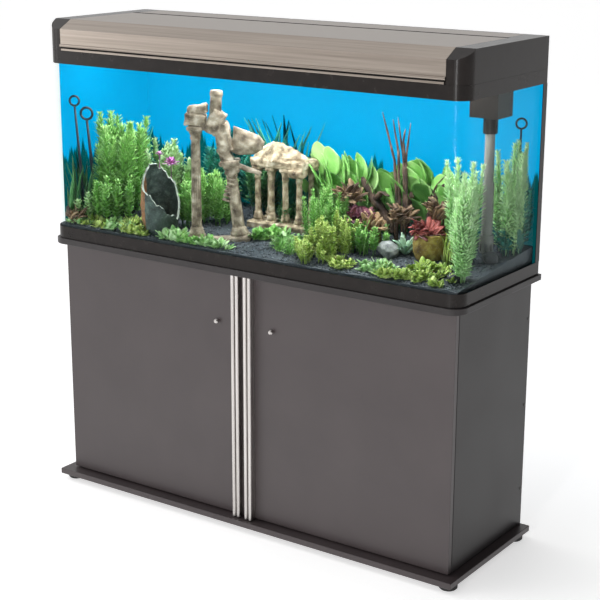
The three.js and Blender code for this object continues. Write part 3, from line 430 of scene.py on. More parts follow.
# ---- Lamps and filter
# Two opal fluorescent tubes in a white reflector box, over a clear splash guard. The filter is a long tray
# with a sponge, and a powerhead at the right end draws through a telescopic grey intake.
opal = finish("opal_tube", [(0.86, 0.86, 0.82), (0.92, 0.92, 0.89)], 30, rough=(0.25, 0.35))
dial(opal, "Emission Color", (1.0, 0.98, 0.93, 1))
dial(opal, "Emission Strength", 1.0)
coat(opal, "front_fluorescent_tube", "rear_fluorescent_tube")
white_moulding = finish(
    "white_moulding", [(0.66, 0.65, 0.61), (0.74, 0.73, 0.69)], 30, rough=(0.35, 0.45), bump=0.04
)
coat(white_moulding, "light_housing", "pump_impeller")
coat(moulded, "filter_tray", "pump_housing")
foam = finish(
    "filter_foam", [(0.010, 0.03, 0.06), (0.04, 0.09, 0.16)], 420, rough=(0.9, 1.0), bump=0.9, fine=1.5
)
coat(foam, "filter_sponge")
grey_tube = finish(
    "grey_tube", [(0.17, 0.165, 0.155), (0.23, 0.22, 0.205)], 50, rough=(0.35, 0.45), bump=0.04
)
coat(grey_tube, "intake_tube", "intake_sleeve", "intake_strainer", "outlet_elbow")

soft_lamp("tank_lamp", (0, -0.06, 1.150), (0, -0.06, 0.7), 1.12, 0.17, 12.0)

# ---- Gravel
# Coated gravel, dark blue-grey, banked up towards the back pane. One rippled bed carries the loose stones
# on top.
gravel_low, gravel_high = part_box("gravel_bed")
front_depth = 0.0340


def gravel_height(y):
    """The gravel's surface at a distance from the front pane."""
    along = (y - gravel_low.y) / (gravel_high.y - gravel_low.y)
    return gravel_high.z - front_depth * (1 - along)


def ripple(x, y):
    return 0.0022 * noise.noise(Vector((x * 22, y * 22, 3.0))) + 0.0012 * noise.noise(
        Vector((x * 75, y * 75, 9.0))
    )


clear_selection()
bpy.ops.mesh.primitive_grid_add(x_subdivisions=230, y_subdivisions=72, size=1)
bed = bpy.context.object
bed.name = "gravel_bank"
middle = (gravel_low + gravel_high) / 2
for v in bed.data.vertices:
    x = middle.x + v.co.x * (gravel_high.x - gravel_low.x - 0.002)
    y = middle.y + v.co.y * (gravel_high.y - gravel_low.y - 0.002)
    v.co = (x, y, gravel_height(y) + ripple(x, y) - 0.0015)
on_top = len(bed.data.vertices)
thick = bed.modifiers.new("depth", "SOLIDIFY")
thick.thickness = 0.014
thick.offset = -1
bpy.ops.object.modifier_apply(modifier="depth")
for v in bed.data.vertices[on_top:]:
    v.co.z = gravel_low.z + 0.0005
gravel_finish = finish(
    "coated_gravel",
    [(0.012, 0.015, 0.020), (0.040, 0.050, 0.062), (0.085, 0.10, 0.12)],
    330,
    rough=(0.45, 0.75),
    bump=0.9,
    fine=1.3,
)
bed.data.materials.append(gravel_finish)
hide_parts("gravel_bed")
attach(bed, "stand_and_tank")


# ---- Loose pebbles
# Single stones of the same coated gravel, lying on the bank and thickest near the front pane. They are one
# piece, made of copies of one faceted pebble.
full_turn = 6.28
pane_gap = 0.0015  # what the scenery keeps from the panes


def inside_glass(points):
    """Keeps leaves inside the panes. One that would meet the glass lies against it."""
    side = gravel_high.x - pane_gap
    bend = 0.030
    points[:, 0] = np.clip(points[:, 0], -side, side)
    points[:, 1] = np.clip(points[:, 1], gravel_low.y + pane_gap, gravel_high.y - pane_gap)
    across = np.abs(points[:, 0]) - (side - bend)
    before = (gravel_low.y + pane_gap + bend) - points[:, 1]
    reach = np.hypot(across, before)
    out = (across > 0) & (before > 0) & (reach > bend)
    share = bend / np.maximum(reach, 1e-9)
    points[:, 0] = np.where(out, np.sign(points[:, 0]) * (side - bend + across * share), points[:, 0])
    points[:, 1] = np.where(out, gravel_low.y + pane_gap + bend - before * share, points[:, 1])
    return points


def gather(name, items, material, body="stand_and_tank"):
    """One piece from many copies of a few shapes. An item is (shape, matrix, tone)."""
    points, faces, tones = [], [], []
    count = 0
    for shape, matrix, tone in items:
        base = np.array([v.co for v in shape.data.vertices])
        m = np.array(matrix)
        points.append(base @ m[:3, :3].T + m[:3, 3])
        faces.extend([tuple(count + i for i in face.vertices) for face in shape.data.polygons])
        tones.append(np.full(len(base), tone, np.float32))
        count += len(base)
    mesh = bpy.data.meshes.new(name)
    mesh.from_pydata(inside_glass(np.concatenate(points)).tolist(), [], faces)
    mesh.attributes.new("tone", "FLOAT", "POINT").data.foreach_set("value", np.concatenate(tones))
    for face in mesh.polygons:
        face.use_smooth = True
    piece = bpy.data.objects.new(name, mesh)
    scene.collection.objects.link(piece)
    mesh.materials.append(material)
    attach(piece, body)
    return piece


def put(x, y, z, turn=0.0, tilt=0.0, size=(1, 1, 1)):
    """Where a copy goes: its foot at a point, leaning by tilt towards the side that turn faces."""
    spin = Euler((0, tilt, turn), "XYZ").to_matrix().to_4x4()
    return Matrix.Translation((x, y, z)) @ spin @ Matrix.Diagonal((*size, 1))


def sized(size):
    """The same scale along every axis."""
    return Matrix.Diagonal((size, size, size, 1))


def put_away(*shapes):
    """Removes the patterns that the copies were made from."""
    for shape in shapes:
        bpy.data.objects.remove(shape, do_unlink=True)


def toned(name, tones, rough=(0.4, 0.6), scale=60, clear=0.0):
    """A finish whose colour follows each copy's own tone, clouded a little."""
    made = finish(name, tones, scale, rough=rough, bump=0.25, fine=4)
    tree = made.node_tree
    own = tree.nodes.new("ShaderNodeAttribute")
    own.attribute_name = "tone"
    blend = tree.nodes.new("ShaderNodeMapRange")
    blend.inputs["To Min"].default_value = 0.3
    blend.inputs["To Max"].default_value = 0.7
    tree.links.new(own.outputs["Fac"], blend.inputs["Value"])
    mean = tree.nodes.new("ShaderNodeMath")
    mean.operation = "MULTIPLY_ADD"
    mean.inputs[1].default_value = 0.35
    tree.links.new(tree.nodes["cloud"].outputs["Fac"], mean.inputs[0])
    share = tree.nodes.new("ShaderNodeMath")
    share.operation = "MULTIPLY"
    share.inputs[1].default_value = 0.65
    tree.links.new(blend.outputs["Result"], share.inputs[0])
    tree.links.new(share.outputs["Value"], mean.inputs[2])
    tree.links.new(mean.outputs["Value"], tree.nodes["ramp"].inputs["Fac"])
    shader = tree.nodes["Principled BSDF"]
    shader.inputs["Subsurface Weight"].default_value = clear
    shader.inputs["Subsurface Radius"].default_value = (0.004, 0.008, 0.002)
    return made


chance = random.Random(41)
clear_selection()
bpy.ops.mesh.primitive_ico_sphere_add(subdivisions=1, radius=1)
pebble = bpy.context.object
pebbles = []
for _ in range(3400):
    x = chance.uniform(gravel_low.x + 0.008, gravel_high.x - 0.008)
    y = gravel_low.y + 0.008 + (gravel_high.y - gravel_low.y - 0.016) * chance.random() ** 1.5
    r = chance.uniform(0.0016, 0.0036)
    size = (r * chance.uniform(0.9, 1.4), r, r * chance.uniform(0.6, 0.9))
    z = gravel_height(y) + ripple(x, y) - 0.0008
    pebbles.append(
        (
            pebble,
            put(x, y, z, chance.uniform(0, full_turn), chance.uniform(-0.4, 0.4), size),
            chance.random() ** 2,
        )
    )
pebble_finish = toned(
    "pebble_coating",
    [(0.016, 0.020, 0.026), (0.055, 0.068, 0.082), (0.20, 0.23, 0.26)],
    rough=(0.35, 0.6), scale=300,
)
gather("loose_pebbles", pebbles, pebble_finish)
put_away(pebble)

# ---- Broken colonnade
# A cast polyresin ornament, dry-brushed in bleached stone colours: two tall columns, a leaning pile of
# broken blocks between them, and a fallen shell. It stands in the gravel on its own cast base.
pale_tones = [(0.06, 0.040, 0.028), (0.20, 0.155, 0.11), (0.38, 0.31, 0.235), (0.62, 0.54, 0.45)]
pale_stone = finish("bleached_stone", pale_tones, 48, rough=(0.75, 0.95), bump=0.9, fine=5, detail=8)


def pick_faces(piece, test):
    """Selects the faces that pass a test, in edit mode."""
    mesh = bmesh.from_edit_mesh(piece.data)
    mesh.faces.ensure_lookup_table()
    for face in mesh.faces:
        face.select_set(False)
    for face in mesh.faces:
        if test(face):
            face.select_set(True)
    bmesh.update_edit_mesh(piece.data)


def grown(name, sides, rows, smooth=True):
    """A closed body raised row by row from a short prism. A row is (x, y, z, half width, half depth)."""
    clear_selection()
    x0, y0, z0, w0, d0 = rows[0]
    x1, y1, z1, w1, d1 = rows[1]
    bpy.ops.mesh.primitive_cylinder_add(vertices=sides, radius=1, depth=2, end_fill_type="NGON")
    piece = bpy.context.object
    piece.name = name
    for v in piece.data.vertices:
        if v.co.z < 0:
            v.co = (x0 + v.co.x * w0, y0 + v.co.y * d0, z0)
        else:
            v.co = (x1 + v.co.x * w1, y1 + v.co.y * d1, z1)
    bpy.ops.object.mode_set(mode="EDIT")
    bpy.ops.mesh.select_mode(type="FACE")
    faces = bmesh.from_edit_mesh(piece.data).faces
    wanted = {face.index for face in faces if all(abs(v.co.z - z1) < 1e-7 for v in face.verts)}
    pick_faces(piece, lambda face: face.index in wanted)
    for row, last in zip(rows[2:], rows[1:]):
        step = (row[0] - last[0], row[1] - last[1], row[2] - last[2])
        bpy.ops.mesh.extrude_region_move(TRANSFORM_OT_translate={"value": step})
        scale = (row[3] / last[3], row[4] / last[4], 1)
        bpy.ops.transform.resize(value=scale, center_override=row[:3])
    bpy.ops.object.mode_set(mode="OBJECT")
    if smooth:
        bpy.ops.object.shade_smooth()
    return piece


def turned(*rows):
    """Rows of a body turned about the upright axis. A row is (z, radius)."""
    return [(0, 0, z, radius, radius) for z, radius in rows]


def weather(piece, depth, scale, seed):
    """Moves each point a little along its normal, as casting from real stone leaves it."""
    shift = Vector((seed * 7.3, seed * 3.1, seed))
    moves = []
    for v in piece.data.vertices:
        rough = noise.noise(v.co * scale + shift) + 0.5 * noise.noise(v.co * scale * 3 + shift)
        moves.append(v.normal * rough * depth)
    for v, move in zip(piece.data.vertices, moves):
        v.co += move


def block(name, size, matrix, seed, depth=0.002, cuts=5, bevel=0.003):
    """A broken block of cast stone: a bevelled, subdivided box with a weathered surface."""
    clear_selection()
    bpy.ops.mesh.primitive_cube_add(size=1)
    piece = bpy.context.object
    piece.name = name
    bpy.ops.object.mode_set(mode="EDIT")
    bpy.ops.mesh.select_all(action="SELECT")
    bpy.ops.transform.resize(value=size, center_override=(0, 0, 0))
    bpy.ops.mesh.bevel(offset=bevel, segments=1)
    bpy.ops.mesh.select_all(action="SELECT")
    bpy.ops.mesh.subdivide(number_cuts=cuts)
    bpy.ops.object.mode_set(mode="OBJECT")
    weather(piece, depth, 60, seed)
    piece.data.transform(matrix)
    bpy.ops.object.shade_smooth_by_angle(angle=math.radians(50))
    return piece


def fluted(name, rows, flutes, groove):
    """A turned column whose every second side is pressed in, which leaves flutes between fillets."""
    piece = grown(name, flutes * 2, rows, smooth=False)
    bpy.ops.object.mode_set(mode="EDIT")
    step = math.pi / flutes
    pick_faces(
        piece,
        lambda f: abs(f.normal.z) < 0.5
        and int(
            math.atan2(f.calc_center_median().y, f.calc_center_median().x) % (2 * math.pi) / step
        ) % 2 == 0,
    )
    bpy.ops.mesh.inset(thickness=groove * 0.35, depth=-groove, use_individual=False)
    bpy.ops.object.mode_set(mode="OBJECT")
    bpy.ops.object.shade_smooth_by_angle(angle=math.radians(35))
    return piece


def united(name, pieces, material, slot, *replaced, body="stand_and_tank"):
    """Joins finished shapes into one piece."""
    clear_selection()
    for piece in pieces:
        piece.select_set(True)
    bpy.context.view_layer.objects.active = pieces[0]
    bpy.ops.object.join()
    piece = bpy.context.object
    piece.name = name
    piece.data.materials.clear()
    piece.data.materials.append(material)
    if replaced:
        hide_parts(*replaced)
    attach(piece, body)
    return piece


def column(name, foot, head, radius, frame_at, flutes=12):
    """A column with a square plinth, a round torus, a shaft and a flared capital."""
    lean = (head - foot) / (head - foot).length
    turn = Vector((0, 0, 1)).rotation_difference(lean).to_matrix().to_4x4()
    place = frame_at @ Matrix.Translation(foot) @ turn
    height = (head - foot).length
    shaft_rows = turned(
        (0.016, radius * 1.02),
        (height * 0.3, radius),
        (height * 0.65, radius * 0.93),
        (height - 0.03, radius * 0.86),
    )
    shaft = fluted(name, shaft_rows, flutes, radius * 0.14)
    rings = turned(
        (0.006, radius * 1.42),
        (0.010, radius * 1.52),
        (0.015, radius * 1.50),
        (0.018, radius * 1.25),
        (0.022, radius * 1.3),
        (0.027, radius * 1.05),
    )
    base = grown(name + "_base", 24, rings)
    flare = turned(
        (height - 0.034, radius * 0.92),
        (height - 0.028, radius * 1.12),
        (height - 0.024, radius * 0.95),
        (height - 0.012, radius * 1.3),
        (height - 0.007, radius * 1.38),
    )
    capital = grown(name + "_capital", 24, flare)
    plinth = block(name + "_plinth", (radius * 3.3, radius * 3.3, 0.012), Matrix.Identity(4), 3, 0.001, 2)
    slab_at = Matrix.Translation((0, 0, height - 0.004))
    slab = block(name + "_slab", (radius * 3.2, radius * 3.0, 0.012), slab_at, 4, 0.001, 2)
    for piece in (shaft, base, capital, plinth, slab):
        piece.data.transform(place)
    return [shaft, base, capital, plinth, slab]


ruin_at = Matrix.Translation((-0.122, -0.113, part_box("column_ruin")[0].z)) @ Matrix.Rotation(
    math.radians(30), 4, "Z"
)


def in_ruin(at, lean):
    """A place in the colonnade's own frame, leaning to its right."""
    return ruin_at @ Matrix.Translation(at) @ Matrix.Rotation(lean, 4, "Y")


ruin = column("short_column", Vector((-0.053, 0, 0.012)), Vector((-0.053, 0, 0.288)), 0.0125, ruin_at)
ruin += column(
    "tall_column", Vector((0.055, 0.0, 0.014)), Vector((0.030, 0.0, 0.205)), 0.0150, ruin_at, flutes=9
)
blocks = [
    ((0.150, 0.046, 0.016), (0, 0, 0.004), 0, 0.003),
    ((0.052, 0.034, 0.030), (-0.052, 0, 0.305), 0.1, 0.003),
    ((0.046, 0.030, 0.022), (-0.046, 0, 0.330), -0.12, 0.003),
    ((0.036, 0.034, 0.060), (-0.004, 0, 0.300), 0.55, 0.004),
    ((0.034, 0.034, 0.070), (0.016, 0, 0.262), -0.25, 0.004),
    ((0.030, 0.030, 0.074), (0.028, 0, 0.205), -0.45, 0.004),
    ((0.040, 0.034, 0.014), (0.062, -0.004, 0.016), 0.2, 0.003),
]
for i, (size, at, lean, depth) in enumerate(blocks):
    ruin.append(block(f"ruin_block_{i}", size, in_ruin(at, lean), i + 1, depth))
stub = grown("broken_stub", 20, turned((0, 0.0150), (0.050, 0.0142), (0.056, 0.0165), (0.066, 0.0150)))
stub.data.transform(in_ruin((-0.004, 0, 0.310), 0.06))
ruin.append(stub)
shell_rows = [
    (0, 0, 0, 0.012, 0.010),
    (0.012, 0, 0.014, 0.030, 0.017),
    (0.020, 0, 0.032, 0.040, 0.018),
    (0.016, 0, 0.050, 0.041, 0.016),
    (0.006, 0, 0.060, 0.034, 0.010),
]
fragment = grown("fallen_shell", 14, shell_rows)
weather(fragment, 0.002, 90, 5)
fragment.data.transform(in_ruin((0.046, 0, 0.224), 0.35))
ruin.append(fragment)
ruin.append(block("hanging_shard", (0.064, 0.018, 0.010), in_ruin((0.078, 0, 0.184), 0.35), 9, 0.002, 3))
for i in range(7):
    rib_at = in_ruin((0.022 + 0.003 * i, -0.002, 0.108 + 0.0105 * i), 0.25)
    ruin.append(block(f"rib_{i}", (0.020, 0.026, 0.0045), rib_at, i + 20, 0.0008, 1, 0.0015))
united("broken_colonnade", ruin, pale_stone, "sandstone", "column_ruin")

# ---- Temple front
# A second polyresin ornament in warmer stone colours: a small temple front on a step, with four columns
# before two, a lintel and a worn gable.
stone_tones = [(0.07, 0.045, 0.028), (0.25, 0.19, 0.12), (0.46, 0.37, 0.26), (0.68, 0.60, 0.48)]
stone = finish("painted_stone", stone_tones, 55, rough=(0.75, 0.95), bump=0.9, fine=5, detail=8)
temple_at = Matrix.Translation((-0.040, 0.056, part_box("temple_ruin")[0].z)) @ Matrix.Rotation(
    math.radians(2), 4, "Z"
)
temple_blocks = [
    ("temple_step", (0.176, 0.090, 0.020), (0, 0, 0.010), 11, 8),
    ("temple_lintel", (0.158, 0.080, 0.022), (0, 0, 0.170), 12, 8),
    ("temple_corner", (0.040, 0.034, 0.020), (0.058, -0.030, 0.152), 13, 5),
]
temple = []
for name, size, at, seed, cuts in temple_blocks:
    temple.append(block(name, size, temple_at @ Matrix.Translation(at), seed, 0.003, cuts))
column_feet = [
    (-0.062, -0.028), (-0.021, -0.028), (0.021, -0.028), (0.062, -0.028), (-0.062, 0.028), (0.062, 0.028)
]
for x, y in column_feet:
    temple += column(
        f"temple_column_{round(x * 1000)}_{round(y * 1000)}",
        Vector((x, y, 0.018)),
        Vector((x, y, 0.160)),
        0.0082,
        temple_at,
        flutes=8,
    )
gable_rows = [
    (-0.004, -0.010, 0.178, 0.084, 0.036),
    (-0.004, -0.010, 0.188, 0.082, 0.034),
    (-0.010, -0.008, 0.204, 0.052, 0.026),
    (-0.018, -0.006, 0.216, 0.022, 0.018),
    (-0.024, -0.006, 0.222, 0.006, 0.010),
]
gable = grown("temple_gable", 4, gable_rows, smooth=False)
bpy.ops.object.mode_set(mode="EDIT")
bpy.ops.mesh.select_all(action="SELECT")
bpy.ops.mesh.subdivide(number_cuts=6)
bpy.ops.object.mode_set(mode="OBJECT")
weather(gable, 0.005, 45, 6)
bpy.ops.object.shade_smooth_by_angle(angle=math.radians(50))
gable.data.transform(temple_at)
temple.append(gable)
united("temple_front", temple, stone, "sandstone", "temple_ruin")

# ---- Broken jar
# A cast resin amphora in dark clay colours, rusty down its left side. Its neck and front are broken away,
# which leaves a pale edge round the break and shows the hollow inside.
clay_tones = [(0.010, 0.018, 0.016), (0.035, 0.055, 0.048), (0.10, 0.14, 0.12)]
clay = finish("dark_clay", clay_tones, 60, rough=(0.5, 0.7), bump=0.6, fine=3, detail=8)
broken_edge = finish(
    "broken_edge", [(0.18, 0.21, 0.18), (0.42, 0.46, 0.40)], 90, rough=(0.7, 0.9), bump=0.6, fine=3
)
rusty = finish(
    "rusty_glaze", [(0.16, 0.06, 0.02), (0.34, 0.15, 0.06)], 70, rough=(0.6, 0.8), bump=0.6, fine=3
)
jar_low, jar_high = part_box("broken_jar")
jar_middle = (jar_low + jar_high) / 2
jar_height = jar_high.z - jar_low.z
jar_rows = turned(
    (0, 0.032),
    (0.012, 0.040),
    (0.040, 0.047),
    (0.080, 0.050),
    (0.120, 0.047),
    (0.150, 0.042),
    (jar_height, 0.036),
)
jar = grown("broken_amphora", 40, jar_rows)
bpy.ops.object.mode_set(mode="EDIT")
pick_faces(jar, lambda f: f.normal.z > 0.9)
bpy.ops.mesh.delete(type="FACE")
bpy.ops.mesh.select_all(action="SELECT")
bpy.ops.mesh.subdivide(number_cuts=3)


def across_jar(x, y):
    """How far a point of the jar lies to the right, seen from the front right."""
    return 0.82 * x + 0.57 * y


def break_line(x, y):
    """The height of the break: low at the front right, sweeping up to the left and round the back."""
    across = across_jar(x, y)
    behind = -0.57 * x + 0.82 * y
    rear_rise = 0.080 * min(1, max(0, (behind + 0.014) / 0.045))
    teeth = 0.0035 * math.sin(across * 210) + 0.002 * math.sin(across * 520 + 1)
    return 0.083 - 0.9 * across + rear_rise + teeth


def over_the_break(f):
    c = f.calc_center_median()
    return c.z > break_line(c.x, c.y)


pick_faces(jar, over_the_break)
bpy.ops.mesh.delete(type="FACE")
broken = bmesh.from_edit_mesh(jar.data)
for v in broken.verts:
    if v.is_boundary and v.co.z < jar_height - 0.001:
        v.co.z = min(break_line(v.co.x, v.co.y), jar_height)
bmesh.update_edit_mesh(jar.data)
bpy.ops.object.mode_set(mode="OBJECT")
wall = jar.modifiers.new("wall", "SOLIDIFY")
wall.thickness = 0.005
wall.offset = -1
wall.use_rim = True
wall.material_offset_rim = 1
jar.data.materials.append(clay)
jar.data.materials.append(broken_edge)
bpy.ops.object.modifier_apply(modifier="wall")
jar.data.materials.append(rusty)
rusty_side = -0.036
for face in jar.data.polygons:
    if face.material_index == 0 and across_jar(face.center.x, face.center.y) < rusty_side:
        face.material_index = 2
weather(jar, 0.0012, 70, 8)
bpy.ops.object.shade_smooth_by_angle(angle=math.radians(50))
jar.data.transform(Matrix.Translation((jar_middle.x, jar_middle.y, jar_low.z)))
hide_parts("broken_jar")
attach(jar, "stand_and_tank")

# ---- Coral pot
# A small urn of rough ochre clay, cast in resin, with a rolled rim. It is hollow, and corals grow out of it.
# It is turned in one piece, inside and outside, and then roughened all over.
ochre_tones = [(0.10, 0.055, 0.015), (0.26, 0.17, 0.035), (0.42, 0.33, 0.09)]
ochre = finish("ochre_clay", ochre_tones, 65, rough=(0.7, 0.9), bump=1.0, fine=4, detail=8)
pot_low, pot_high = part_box("small_urn")
pot_middle = (pot_low + pot_high) / 2
pot_radius = (pot_high.x - pot_low.x) / 2
pot_height = pot_high.z - pot_low.z
pot_rows = []
for share, width in (
    (0, 0.78), (0.1, 0.86), (0.35, 1.0), (0.6, 0.99), (0.85, 0.95), (0.96, 0.97), (1.0, 0.90)
):
    pot_rows.append((0, 0, pot_height * share, pot_radius * width * 0.985, pot_radius * width * 0.985))
for share, width in ((0.97, 0.80), (0.70, 0.78), (0.3, 0.80), (0.14, 0.6)):
    pot_rows.append((0, 0, pot_height * share, pot_radius * width, pot_radius * width))
pot = grown("coral_pot", 36, pot_rows)
weather(pot, 0.0022, 110, 12)
pot.data.transform(Matrix.Translation((pot_middle.x, pot_middle.y, pot_low.z)))
united("coral_pot", [pot], ochre, "ochre_clay", "small_urn")

# ---- River stone
# A rounded grey stone, mottled, that sits loose in the gravel beside the pot. It is a ball, flattened and
# weathered.
rock_tones = [(0.09, 0.095, 0.10), (0.22, 0.23, 0.23), (0.42, 0.43, 0.42)]
rock = finish("river_stone", rock_tones, 70, rough=(0.6, 0.8), bump=0.7, fine=4, detail=8)
rock_low, rock_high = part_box("grey_stone")
clear_selection()
bpy.ops.mesh.primitive_ico_sphere_add(subdivisions=5, radius=0.5)
river_stone = bpy.context.object
river_stone.data.transform(Matrix.Diagonal((*(rock_high - rock_low) * 0.95, 1)))
weather(river_stone, 0.004, 34, 2)
river_stone.data.transform(Matrix.Translation((rock_low + rock_high) / 2))
bpy.ops.object.shade_smooth()
united("river_stone", [river_stone], rock, "grey_stone", "grey_stone")

# ---- Dark stones
# Three dark cobbles that lie by the intake and in the right front corner, a third of their height in the
# gravel.
basalt_tones = [(0.010, 0.011, 0.013), (0.035, 0.037, 0.042), (0.09, 0.095, 0.10)]
basalt = finish("basalt", basalt_tones, 60, rough=(0.6, 0.8), bump=0.8, fine=4)
cobbles = [(0.560, 0.030, 0.040, 0.030), (0.548, -0.118, 0.036, 0.022), (0.520, -0.005, 0.030, 0.020)]
dark_stones = []
for i, (x, y, wide, tall) in enumerate(cobbles):
    clear_selection()
    bpy.ops.mesh.primitive_ico_sphere_add(subdivisions=4, radius=0.5)
    cobble = bpy.context.object
    cobble.data.transform(Matrix.Diagonal((wide, wide * 0.85, tall, 1)))
    weather(cobble, 0.003, 55, 30 + i)
    cobble.data.transform(Matrix.Translation((x, y, gravel_height(y) + tall * 0.3)))
    bpy.ops.object.shade_smooth()
    dark_stones.append(cobble)
united("dark_stones", dark_stones, basalt, "grey_stone")

# ---- Driftwood
# A waterlogged root, dark red-brown, with forked branches and a few thin upright twigs wedged behind it.
# Each branch is grown through a few points, thinner towards its tip, and the branches are joined.
bark_tones = [(0.010, 0.006, 0.005), (0.034, 0.018, 0.014), (0.10, 0.056, 0.042), (0.26, 0.18, 0.13)]
bark = finish(
    "waterlogged_bark", bark_tones, 60, stretch=(1, 1, 0.5), rough=(0.7, 0.9), bump=1.0, fine=4, detail=8
)


def limb(name, points, radius, taper, seed, sides=14):
    """A branch through a few points, thinner towards its tip, with a gnarled surface."""
    rows = []
    wander = random.Random(seed)
    for i in range(len(points) - 1):
        a, b = Vector(points[i]), Vector(points[i + 1])
        for k in range(5):
            t = (i + k / 5) / (len(points) - 1)
            c = a.lerp(b, k / 5)
            r = radius * (1 - (1 - taper) * t) * wander.uniform(0.86, 1.14)
            rows.append((c.x, c.y, c.z, r, r * wander.uniform(0.85, 1.1)))
    last = points[-1]
    rows.append((*last, radius * taper * 0.5, radius * taper * 0.5))
    piece = grown(name, sides, rows)
    weather(piece, radius * 0.16, 60, seed)
    return piece


wood_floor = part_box("driftwood")[0].z
# Each branch: its name, the points it runs through (heights from the wood's foot), its radius and its taper.
branches = [
    (
        "root",
        [(0.165, 0.118, 0.012), (0.24, 0.126, 0.03), (0.31, 0.132, 0.034), (0.362, 0.136, 0.05)],
        0.019,
        0.55,
    ),
    (
        "left_branch",
        [(0.235, 0.118, 0.01), (0.222, 0.104, 0.06), (0.192, 0.094, 0.10), (0.172, 0.090, 0.142)],
        0.018,
        0.5,
    ),
    ("crook", [(0.205, 0.096, 0.09), (0.228, 0.088, 0.112), (0.250, 0.084, 0.104)], 0.012, 0.45),
    ("middle_branch", [(0.27, 0.128, 0.02), (0.285, 0.118, 0.07), (0.300, 0.112, 0.12)], 0.013, 0.4),
    ("right_branch", [(0.335, 0.130, 0.03), (0.356, 0.112, 0.075), (0.372, 0.100, 0.125)], 0.013, 0.42),
    ("right_fork", [(0.362, 0.106, 0.09), (0.385, 0.098, 0.125), (0.396, 0.094, 0.150)], 0.008, 0.4),
]
wood = []
for i, (name, points, radius, taper) in enumerate(branches):
    wood.append(limb(name, [(x, y, wood_floor + z) for x, y, z in points], radius, taper, i + 1))
united("driftwood_root", wood, bark, "bark", "driftwood")
twigs = [
    limb(
        "twig_0",
        [(0.262, 0.110, wood_floor + 0.05), (0.250, 0.108, 0.93), (0.216, 0.104, 1.045)],
        0.0050,
        0.35,
        11,
        8,
    ),
    limb(
        "twig_1",
        [(0.268, 0.108, wood_floor + 0.05), (0.263, 0.105, 0.95), (0.247, 0.102, 1.030)],
        0.0046,
        0.35,
        12,
        8,
    ),
    limb(
        "twig_2",
        [(0.285, 0.104, wood_floor + 0.05), (0.280, 0.102, 0.93), (0.262, 0.100, 1.038)],
        0.0052,
        0.30,
        13,
        8,
    ),
    limb(
        "twig_3",
        [(0.290, 0.104, wood_floor + 0.05), (0.286, 0.102, 0.94), (0.299, 0.098, 1.026)],
        0.0050,
        0.32,
        14,
        8,
    ),
    limb("twig_4", [(0.284, 0.100, 0.93), (0.279, 0.099, 0.98), (0.286, 0.096, 1.012)], 0.0040, 0.35, 15, 8),
    limb(
        "twig_5",
        [(0.345, 0.104, wood_floor + 0.09), (0.375, 0.098, 0.885), (0.412, 0.094, 0.925)],
        0.0040,
        0.35,
        16,
        8,
    ),
]
united("upright_twigs", twigs, bark, "bark")

# ---- Stemmed plants
# Soft moulded plastic plants pushed into the gravel. Each is one piece: upright stems with whorls of small
# leaves, copied from a leaf and a stem that are modelled once.
needle = grown(
    "needle_leaf",
    4,
    [
        (0, 0, 0, 0.10, 0.05),
        (0, 0.02, 0.35, 0.15, 0.05),
        (0, 0.08, 0.75, 0.11, 0.04),
        (0, 0.16, 1.0, 0.02, 0.02),
    ],
)
oval = grown(
    "oval_leaf",
    4,
    [
        (0, 0, 0, 0.05, 0.04),
        (0, 0.03, 0.3, 0.26, 0.035),
        (0, 0.08, 0.65, 0.27, 0.03),
        (0, 0.16, 0.92, 0.12, 0.03),
        (0, 0.19, 1.0, 0.02, 0.02),
    ],
)
stem = grown("plant_stem", 5, [(0, 0, 0, 1, 1), (0, 0, 0.5, 0.85, 0.85), (0, 0, 1, 0.6, 0.6)])


def root_height(y):
    """Where a stem starts, a little below the gravel's surface."""
    return gravel_height(y) - 0.004


def stemmed_plant(
    leaf, x, y, height, spread, stems, leaf_size, spacing, per_whorl, seed, lean=0.12, upright=0.75
):
    """Upright stems with rings of leaves, shorter towards the tip."""
    rand = random.Random(seed)
    items = []
    foot = root_height(y)
    for k in range(stems):
        turn = rand.uniform(0, full_turn)
        out = spread * math.sqrt(rand.random()) * 0.6
        sx, sy = x + out * math.cos(turn), y + out * math.sin(turn)
        tall = height * rand.uniform(0.68, 1.0) * (1 - 0.25 * out / max(spread, 1e-6))
        tilt = rand.uniform(0.3, 1.0) * lean
        at = put(sx, sy, foot, turn, tilt)
        items.append((stem, at @ Matrix.Diagonal((0.0011, 0.0011, tall, 1)), 0.25))
        rings = int(tall / spacing)
        for i in range(2, rings):
            z = i * spacing
            share = z / tall
            size = leaf_size * (0.75 + 0.5 * math.sin(min(share * 3.4, 3.1))) * rand.uniform(0.8, 1.15)
            start = rand.uniform(0, full_turn)
            for j in range(per_whorl):
                a = start + j * 2 * math.pi / per_whorl
                rise = upright * rand.uniform(0.75, 1.2) * (1.25 - 0.65 * share)
                ring_at = at @ Matrix.Translation((0, 0, z)) @ Matrix.Rotation(a, 4, "Z")
                leaf_at = ring_at @ Matrix.Rotation(-rise, 4, "X")
                tone = min(1, max(0, 0.15 + 0.6 * share + rand.uniform(-0.2, 0.3)))
                items.append((leaf, leaf_at @ sized(size), tone))
    return items


